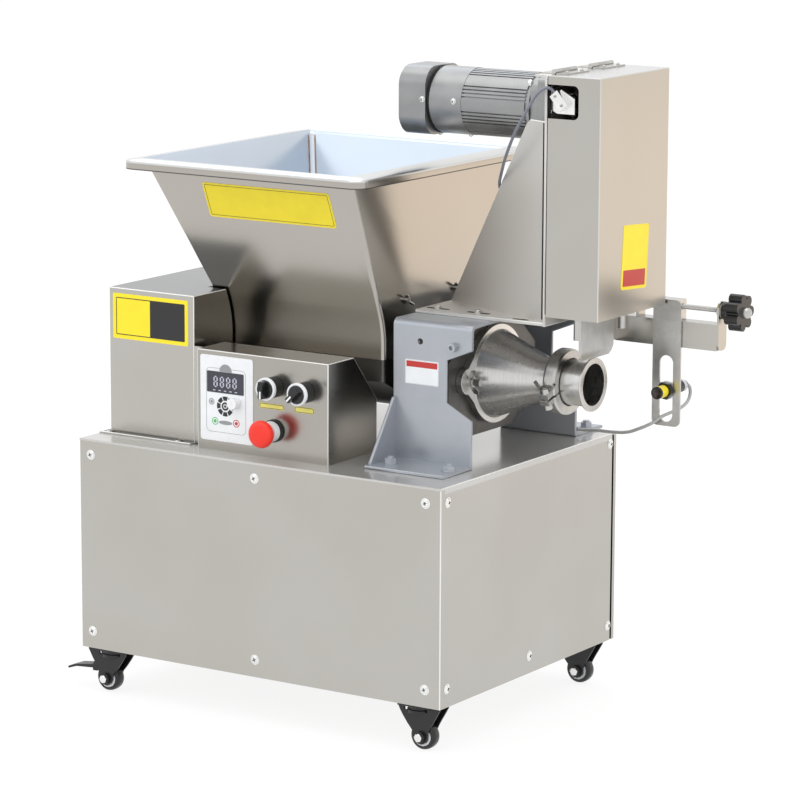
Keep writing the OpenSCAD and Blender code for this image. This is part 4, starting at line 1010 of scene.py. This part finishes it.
class DIVIDER_OT_cutter_stand(bpy.types.Operator):
    """Stand and motor of the cutter"""

    bl_idname = "divider.cutter_stand"
    bl_label = "Cutter stand"

    def execute(self, context):
        # its folds take the painted highlight finish
        fold(dress("cutter_stand", "satin_stand"), sizes().sheet_fold)
        dress("motor_gearbox", "motor_paint", 0.0010)
        dress("motor_body", "motor_paint", 0.0003, 28)
        dress("motor_fan_cover", "motor_paint", 0.0010)
        maker = Maker()
        for x, r in ((135, 49.4), (187, 48.4)):
            for turn in (-4, 90, 184):
                a = math.radians(turn + 180)
                out = Vector((0, math.cos(a), math.sin(a)))
                foot = Vector((x, AXIS_Y, MOTOR_Z)) + out * r
                place = facing(foot, Vector((1, 0, 0)), out.cross(Vector((1, 0, 0))))
                pan_head(maker, place, 7.0)
        for y in (-36, 36):
            for z in (-36, 36):
                hex_head(maker, left_face(310, AXIS_Y + y, MOTOR_Z + z), 8.0, 5.0, washer=False)
        maker.piece("motor_screws", "machine", ["screw_steel", "dark_gap"])
        self.seams()
        # bolts on dark slot-shaped marks, and two more marks: the marks are painted shade standing
        # for slots in the plate
        maker = Maker()
        for x in (178, 246):
            for y in (-71, 71):
                place = top_face(x, AXIS_Y + y, STAND_TOP)
                maker.prism(rounded(38, 8, 3.9), place, SUNK, 0.1, 1)
                hex_head(maker, place, 9.0, 3.2)
        for y in (-84, 84):
            maker.prism(rounded(26, 7, 3.4), top_face(324, AXIS_Y + y, STAND_TOP), SUNK, 0.1, 1)
        maker.piece("stand_bolts", "machine", ["bright_plain", "dark_gap"])
        return {"FINISHED"}

    def seams(self):
        """Painted shadow lines: dark strips along the stand's upright plate and its wings, and a
        dark ring round the motor.
        """
        maker = Maker()
        for side in (-1, 1):
            y = AXIS_Y + side * 92
            maker.prism(rectangle(370.0, 371.4, 605.0, 936.0), front_face(0, y + 3, 0), 0.0, 6.0)
            along = Vector((209, side * 88, 0)).normalized()
            out = Vector((-along.y, along.x, 0)) * side
            foot = Vector((366, AXIS_Y + side * 88, 0)) + out * 2.0
            place = facing(foot, along * side, (0, 0, 1))
            maker.prism(rectangle(-6.0 * side, -2.0 * side, 596.0, 872.0), place, -0.2, 0.25)
        maker.turned([(40.0, 143.0), (48.9, 143.0), (48.9, 145.6), (40.0, 145.6)],
                     right_face(0, AXIS_Y, MOTOR_Z), 56)
        maker.piece("stand_seals", "machine", ["dark_gap"])


class DIVIDER_OT_knife_drive(bpy.types.Operator):
    """Crank, knife slide and guide rods, and the crank's switch"""

    bl_idname = "divider.knife_drive"
    bl_label = "Knife drive"

    def execute(self, context):
        edge = sizes().part_edge
        dress("crank", "bright_turned", edge)
        dress("knife_carriage", "bright_plain", edge)
        dress("knife", "bright_plain", 0.0003)
        dress("guide_rods", "bright_plain", edge)
        dress("prox_bracket", "screw_steel", 0.0005)
        dress("prox_sensor", "screw_steel", edge)
        places = [front_face(x, -57, z) for x, z in ((383.9, 911.1), (394.1, 898.9))]
        screws("switch_screws", "machine", 3.6, places)
        return {"FINISHED"}


class DIVIDER_OT_cutter_cover(bpy.types.Operator):
    """Hinged cover of the cutter with its hinges and bare plate"""

    bl_idname = "divider.cutter_cover"
    bl_label = "Cutter cover"

    def execute(self, context):
        # the cover's top and folds take a paler copy of its sheet, painted light
        cover = cap(dress("cutter_cover", "satin_upright"), "satin_pale")
        fold(cover, sizes().sheet_fold, "satin_pale")
        dress("cover_hinges", "bright_plain", 0.0003)
        place = tilted(right_face(456, 45, 681.5), -4)
        stuck_plate("cover_plate", "cover", place, 72, 91, 4, 1.2,
                    ["yellow_film", "yellow_film", "red_film"], [(-31, 31, -41, -18, 2)])
        places = [top_face(387, AXIS_Y + y, 941.5) for y in (-70, -30, 30, 70)]
        screws("hinge_screws", "cover", 4.5, places)
        return {"FINISHED"}


class DIVIDER_OT_control_box(bpy.types.Operator):
    """Control box with two bare legend plates"""

    bl_idname = "divider.control_box"
    bl_label = "Control box"

    def execute(self, context):
        # its folds take the painted highlight finish
        fold(dress("control_box", "satin_box"), sizes().sheet_fold)
        for name, x0, x1, z0, z1 in (("legend_left", -19.5, 22.5, 452, 460),
                                     ("legend_right", 41.6, 74.7, 452, 461)):
            place = front_face((x0 + x1) / 2, FACE_Y, (z0 + z1) / 2)
            stuck_plate(name, "machine", place, x1 - x0, z1 - z0, 0.8, 0.7,
                        ["pale_yellow", "dark_ink"])
        return {"FINISHED"}


class DIVIDER_OT_keypad(bpy.types.Operator):
    """Keypad film with its display, keys and turning knob"""

    bl_idname = "divider.keypad"
    bl_label = "Keypad"

    def execute(self, context):
        dress("keypad", "white_plastic", 0.0002)
        dress("display_window", "display_glass", 0.0002)
        dress("pot_knob", "white_plastic", sizes().moulded_edge)
        film = FACE_Y - 0.6
        maker = Maker()
        maker.frame(rounded(70, 94, 7), rounded(68.8, 92.8, 6.4), front_face(-78.5, film, 455),
                    SUNK, 0.15, 1)
        maker.prism(arc_band(0.5, 11, 0, 180, 16), front_face(-79, film, 497.5), SUNK, 0.3, 1)
        ring = front_face(-80, film, 447)
        for a in range(0, 360, 45):
            maker.prism(arc_band(8.4, 14.6, a - 18.5, a + 18.5), ring, SUNK, 0.25)
        for r, high, mark in ((6.2, 0.2, 0), (3.6, 0.3, 2), (1.8, 0.4, 0)):
            maker.prism(disc(r), ring, SUNK, high, mark)
        oval = [(12 * a, 3 * b) for a, b in disc(1.0)]
        maker.prism(oval, front_face(-79.5, film, 423), SUNK, 0.2, 1)
        for x, z, outer, inner, dot, mark in ((-104, 452, 4.8, 3.4, 2.4, 1),
                                              (-98, 424, 5.6, 4.4, 2.6, 3),
                                              (-60.5, 424, 5.6, 4.4, 2.6, 4)):
            key = front_face(x, film, z)
            maker.frame(disc(outer), disc(inner), key, SUNK, 0.2, mark)
            maker.prism(disc(dot), key, SUNK, 0.2, mark)
        maker.piece("keys", "machine",
                    ["dark_ink", "grey_film", "pale_film", "green_film", "red_film"])
        self.digits(FACE_Y - 1.1)
        return {"FINISHED"}

    def digits(self, y):
        """Four seven-bar figures, and five small marks under them."""
        maker = Maker()
        # width of a figure, length of a bar's place, and half its thickness
        w = 5.4
        h = 7.2
        t = 1.05
        end = w / 2 - 0.9
        flat_bar = [(-end, 0), (t - end, t), (end - t, t), (end, 0), (end - t, -t), (t - end, -t)]
        tall_bar = [(0, 0.5), (t, 0.5 + t), (t, h - 0.5 - t), (0, h - 0.5), (-t, h - 0.5 - t),
                    (-t, 0.5 + t)]
        for k in range(4):
            place = front_face(-96.5 + 11.2 * k, y, 482)
            for b in (-h, 0, h):
                maker.prism(flat_bar, moved(place, 0, b), SUNK, 0.12)
            for a in (-w / 2, w / 2):
                for b in (0, -h):
                    maker.prism(tall_bar, moved(place, a, b), SUNK, 0.12)
        for k in range(5):
            maker.prism(rounded(4.2, 1.4, 0.4, 2), front_face(-99 + 9.6 * k, y, 469.5), SUNK, 0.12)
        maker.piece("display_figures", "machine", ["digit_glow"])


class DIVIDER_OT_switches(bpy.types.Operator):
    """Two selector switches and the stop button"""

    bl_idname = "divider.switches"
    bl_label = "Switches"

    def execute(self, context):
        edge = sizes().moulded_edge
        dress("switch_collars", "black_plastic", edge)
        dress("switch_rings", "white_plastic", edge)
        self.selector("selector_left", "selector_a", 7, 485, 0)
        self.selector("selector_right", "selector_b", 61, 483, 45)
        self.stop_head()
        return {"FINISHED"}

    def selector(self, node, body, x, z, turn):
        """A round face with a waisted handle and a white pointer along one half of it."""
        maker = Maker()
        place = tilted(front_face(x, FACE_Y, z), -turn)
        maker.turned([(0.0, 20.1), (13.0, 20.1), (13.0, 26.2), (12.2, 27.0), (0.0, 27.0)],
                     place, 44)
        grip = [(-3.6, -12.4), (3.6, -12.4), (4.3, -9.0), (3.4, 0.0), (4.3, 9.0), (3.6, 12.4),
                (-3.6, 12.4), (-4.3, 9.0), (-3.4, 0.0), (-4.3, -9.0)]
        maker.prism(grip, place, 26.8, 37.0)
        maker.piece(node + "_handle", body, ["gloss_black"], [node],
                    sizes().moulded_edge)
        maker = Maker()
        maker.prism(rounded(2.6, 10.6, 0.5, 3), moved(place, 0, -6.6), 36.7, 37.25)
        maker.piece(node + "_pointer", body, ["white_plastic"])

    def stop_head(self):
        maker = Maker()
        profile = [(0.0, 8.0), (9.0, 8.0), (9.0, 24.0), (14.0, 24.2), (17.0, 25.4), (19.2, 27.6),
                   (20.0, 30.6), (19.8, 33.6), (18.6, 36.4), (16.2, 38.5), (12.5, 39.6),
                   (7.0, 40.1), (0.0, 40.2)]
        maker.turned(profile, front_face(5, FACE_Y, 421), 64)
        maker.piece("stop_button_head", "stop_button", ["red_plastic"],
                    ["estop_head"])


class DIVIDER_OT_sensor_arm(bpy.types.Operator):
    """Arm with its adjusting screw, star knob and sensor plate"""

    bl_idname = "divider.sensor_arm"
    bl_label = "Sensor arm"

    def execute(self, context):
        dress("sensor_arm", "satin_level", sizes().sheet_edge)
        dress("sensor_plate", "bright_plain", sizes().sheet_edge)
        dress("star_knob", "gloss_black", 0.0022, 40, 4)
        self.screw()
        self.sensor()
        return {"FINISHED"}

    def screw(self):
        """Threaded rod with a round cap nut."""
        maker = Maker()
        pitch = sizes().thread_pitch / MM
        y, z = 155.0, 597.5
        rows = []
        steps = 16
        x0, x1 = 398.0, 575.0
        count = int((x1 - x0) / (pitch / 5))
        for i in range(count + 1):
            x = x0 + (x1 - x0) * i / count
            row = []
            for k in range(steps):
                wave = ((x - x0) / pitch - k / steps) % 1.0
                r = 4.0 - 0.9 * (1.0 - abs(2.0 * wave - 1.0))
                a = 2 * math.pi * k / steps
                row.append((x, y + r * math.cos(a), z + r * math.sin(a)))
            rows.append(row)
        maker.rings(rows, ends=True)
        place = right_face(541.0, y, z)
        maker.turned([(0.0, 33.0), (8.2, 33.0), (8.2, 34.0), (7.6, 38.0), (6.2, 40.6), (3.6, 42.4),
                      (0.0, 43.0)], place, 32)
        maker.piece("adjusting_screw_rod", "lead_screw", ["bright_plain"],
                    ["adjusting_screw"], crease=50)

    def sensor(self):
        """Threaded photo sensor: dark window, yellow band, two nuts and a cable gland."""
        maker = Maker()
        place = back_face(457, 139.5, 476)
        body = [(0.0, -27.6), (6.6, -27.6), (7.4, -28.0), (8.6, -28.0), (9.0, -27.4), (9.0, -24.0),
                (9.0, -8.0), (8.4, -7.6), (8.4, 40.0), (9.0, 40.6), (9.0, 48.6),
                (7.2, 49.0), (7.0, 54.0), (4.4, 56.0), (0.0, 56.0)]
        marks = [2, 0, 0, 0, 0, 1, 1, 0, 0, 3, 3, 0, 0, 0]
        maker.turned(body, place, 40, marks)
        for low in (-7.0, 3.0):
            maker.prism(disc(13.4, 6, 8), place, low, low + 7.0, 0 if low < 0 else 3)
        maker.piece("eye_body", "sensor_carriage",
                    ["gloss_black", "yellow_film", "lens_amber", "pale_film"],
                    ["photo_sensor"], edge=0.0004)


class DIVIDER_OT_stage(bpy.types.Operator):
    """Floor, sky, lamps and camera"""

    bl_idname = "divider.stage"
    bl_label = "Stage"

    def execute(self, context):
        scene = context.scene
        scene.view_settings.view_transform = "Standard"
        self.sky(scene)
        self.floor()
        stage = scene.divider_stage
        warm = (1.0, 0.55, 0.10)
        cool = (0.80, 0.90, 1.0)
        self.card("warm_card", (1.75, 2.6, 0.25), 2.4, 1.0, stage.warm_card, warm)
        self.card("cool_card", (-1.9, 1.85, 3.0), 2.0, 1.6, stage.cool_card, cool)
        self.card("overhead_card", (-0.2, -0.2, 3.2), 2.6, 2.6, stage.overhead, WHITE[:3])
        self.card("front_card", (-2.2, -2.55, 2.46), 2.6, 1.8, stage.front_card, cool)
        self.camera(scene)
        return {"FINISHED"}

    def seen(self, tree):
        """1 for rays of the camera, of gloss and of glass."""
        path = tree.nodes.new("ShaderNodeLightPath").outputs
        total = path["Is Camera Ray"]
        for name in ("Is Glossy Ray", "Is Transmission Ray"):
            total = add_node(tree, "Math", {0: total, 1: path[name]}, "Value", "MAXIMUM")
        return total

    def sky(self, scene):
        world = bpy.data.worlds.new("studio_sky")
        scene.world = world
        world.use_nodes = True
        tree = world.node_tree
        dim = tree.nodes["Background"]
        dim.inputs["Color"].default_value = WHITE
        dim.inputs["Strength"].default_value = scene.divider_stage.ambient
        plain = add_node(tree, "Background", {"Color": WHITE, "Strength": 1.0}, "Background")
        mix = add_node(tree, "MixShader", {"Fac": self.seen(tree), 1: dim.outputs["Background"],
                                           2: plain}, "Shader")
        tree.links.new(mix, tree.nodes["World Output"].inputs["Surface"])

    def floor(self):
        maker = Maker()
        outline = rectangle(-FLOOR, FLOOR, -FLOOR, FLOOR)
        maker.add([(x, y, 0) for x, y in outline], [[0, 1, 2, 3]])
        floor = new_object("floor", maker.mesh("floor"))
        paint = bpy.data.materials.new("floor_white")
        paint.use_nodes = True
        tree = paint.node_tree
        shader = tree.nodes["Principled BSDF"]
        shader.inputs["Roughness"].default_value = 0.9
        shader.inputs["Specular IOR Level"].default_value = 0.0
        seen = self.seen(tree)
        tone = add_node(tree, "MapRange", {"Value": seen, "To Min": 0.50, "To Max": 1.0}, "Result")
        tree.links.new(tone, shader.inputs["Base Color"])
        glow = add_node(tree, "Emission", {"Color": WHITE, "Strength": 1.0}, "Emission")
        part = add_node(tree, "Math", {0: seen, 1: FLOOR_GLOW}, "Value", "MULTIPLY")
        mix = add_node(tree, "MixShader", {"Fac": part, 1: shader.outputs["BSDF"], 2: glow},
                       "Shader")
        tree.links.new(mix, tree.nodes["Material Output"].inputs["Surface"])
        floor.data.materials.append(paint)

    def card(self, name, at, width, height, radiance, tint):
        """A lamp the size of a studio card, turned to the machine."""
        lamp = bpy.data.lights.new(name, "AREA")
        lamp.shape = "RECTANGLE"
        lamp.size = width
        lamp.size_y = height
        lamp.energy = radiance * math.pi * width * height
        lamp.color = tint
        obj = new_object(name, lamp)
        obj.location = at
        aim = Vector((0.0, 0.0, 0.5)) - Vector(at)
        obj.rotation_euler = aim.to_track_quat("-Z", "Y").to_euler()
        obj.visible_camera = False

    def camera(self, scene):
        lens = bpy.data.cameras.new("photo_camera")
        lens.lens = scene.divider_stage.lens
        lens.sensor_width = SENSOR
        lens.clip_end = 60.0
        obj = new_object("photo_camera", lens)
        turn, dip, lean = LOOK
        look = (Matrix.Rotation(turn, 4, "Z") @ Matrix.Rotation(math.pi / 2 - dip, 4, "X")
                @ Matrix.Rotation(lean, 4, "Z"))
        obj.matrix_world = Matrix.Translation(scene.divider_stage.camera_at) @ look
        scene.camera = obj


class DIVIDER_PT_panel(bpy.types.Panel):
    """Buttons and settings of the dough divider"""

    bl_idname = "DIVIDER_PT_panel"
    bl_label = "Dough divider"
    bl_space_type = "VIEW_3D"
    bl_region_type = "UI"
    bl_category = "Divider"

    def draw(self, context):
        layout = self.layout
        scene = context.scene
        for group in (scene.divider_sizes, scene.divider_colours, scene.divider_stage):
            box = layout.box()
            for name in group.bl_rna.properties.keys():
                if name not in ("rna_type", "name"):
                    box.prop(group, name)
        for operator in OPERATORS:
            layout.operator(operator.bl_idname)


OPERATORS = (
    DIVIDER_OT_cables,
    DIVIDER_OT_cabinet,
    DIVIDER_OT_casters,
    DIVIDER_OT_drive,
    DIVIDER_OT_hopper,
    DIVIDER_OT_feed_line,
    DIVIDER_OT_outlet,
    DIVIDER_OT_brackets,
    DIVIDER_OT_cutter_stand,
    DIVIDER_OT_knife_drive,
    DIVIDER_OT_cutter_cover,
    DIVIDER_OT_control_box,
    DIVIDER_OT_keypad,
    DIVIDER_OT_switches,
    DIVIDER_OT_sensor_arm,
    DIVIDER_OT_stage,
)
GROUPS = (DividerSizes, DividerColours, DividerStage)


def register():
    for group in GROUPS + OPERATORS + (DIVIDER_PT_panel,):
        bpy.utils.register_class(group)
    bpy.types.Scene.divider_sizes = PointerProperty(type=DividerSizes)
    bpy.types.Scene.divider_colours = PointerProperty(type=DividerColours)
    bpy.types.Scene.divider_stage = PointerProperty(type=DividerStage)


def unregister():
    del bpy.types.Scene.divider_stage
    del bpy.types.Scene.divider_colours
    del bpy.types.Scene.divider_sizes
    for group in (DIVIDER_PT_panel,) + tuple(reversed(OPERATORS)) + tuple(reversed(GROUPS)):
        bpy.utils.unregister_class(group)


def main():
    register()
    bpy.ops.divider.cables()
    bpy.ops.divider.cabinet()
    bpy.ops.divider.casters()
    bpy.ops.divider.drive()
    bpy.ops.divider.hopper()
    bpy.ops.divider.feed_line()
    bpy.ops.divider.outlet()
    bpy.ops.divider.brackets()
    bpy.ops.divider.cutter_stand()
    bpy.ops.divider.knife_drive()
    bpy.ops.divider.cutter_cover()
    bpy.ops.divider.control_box()
    bpy.ops.divider.keypad()
    bpy.ops.divider.switches()
    bpy.ops.divider.sensor_arm()
    bpy.ops.divider.stage()


if __name__ == "__main__":
    main()
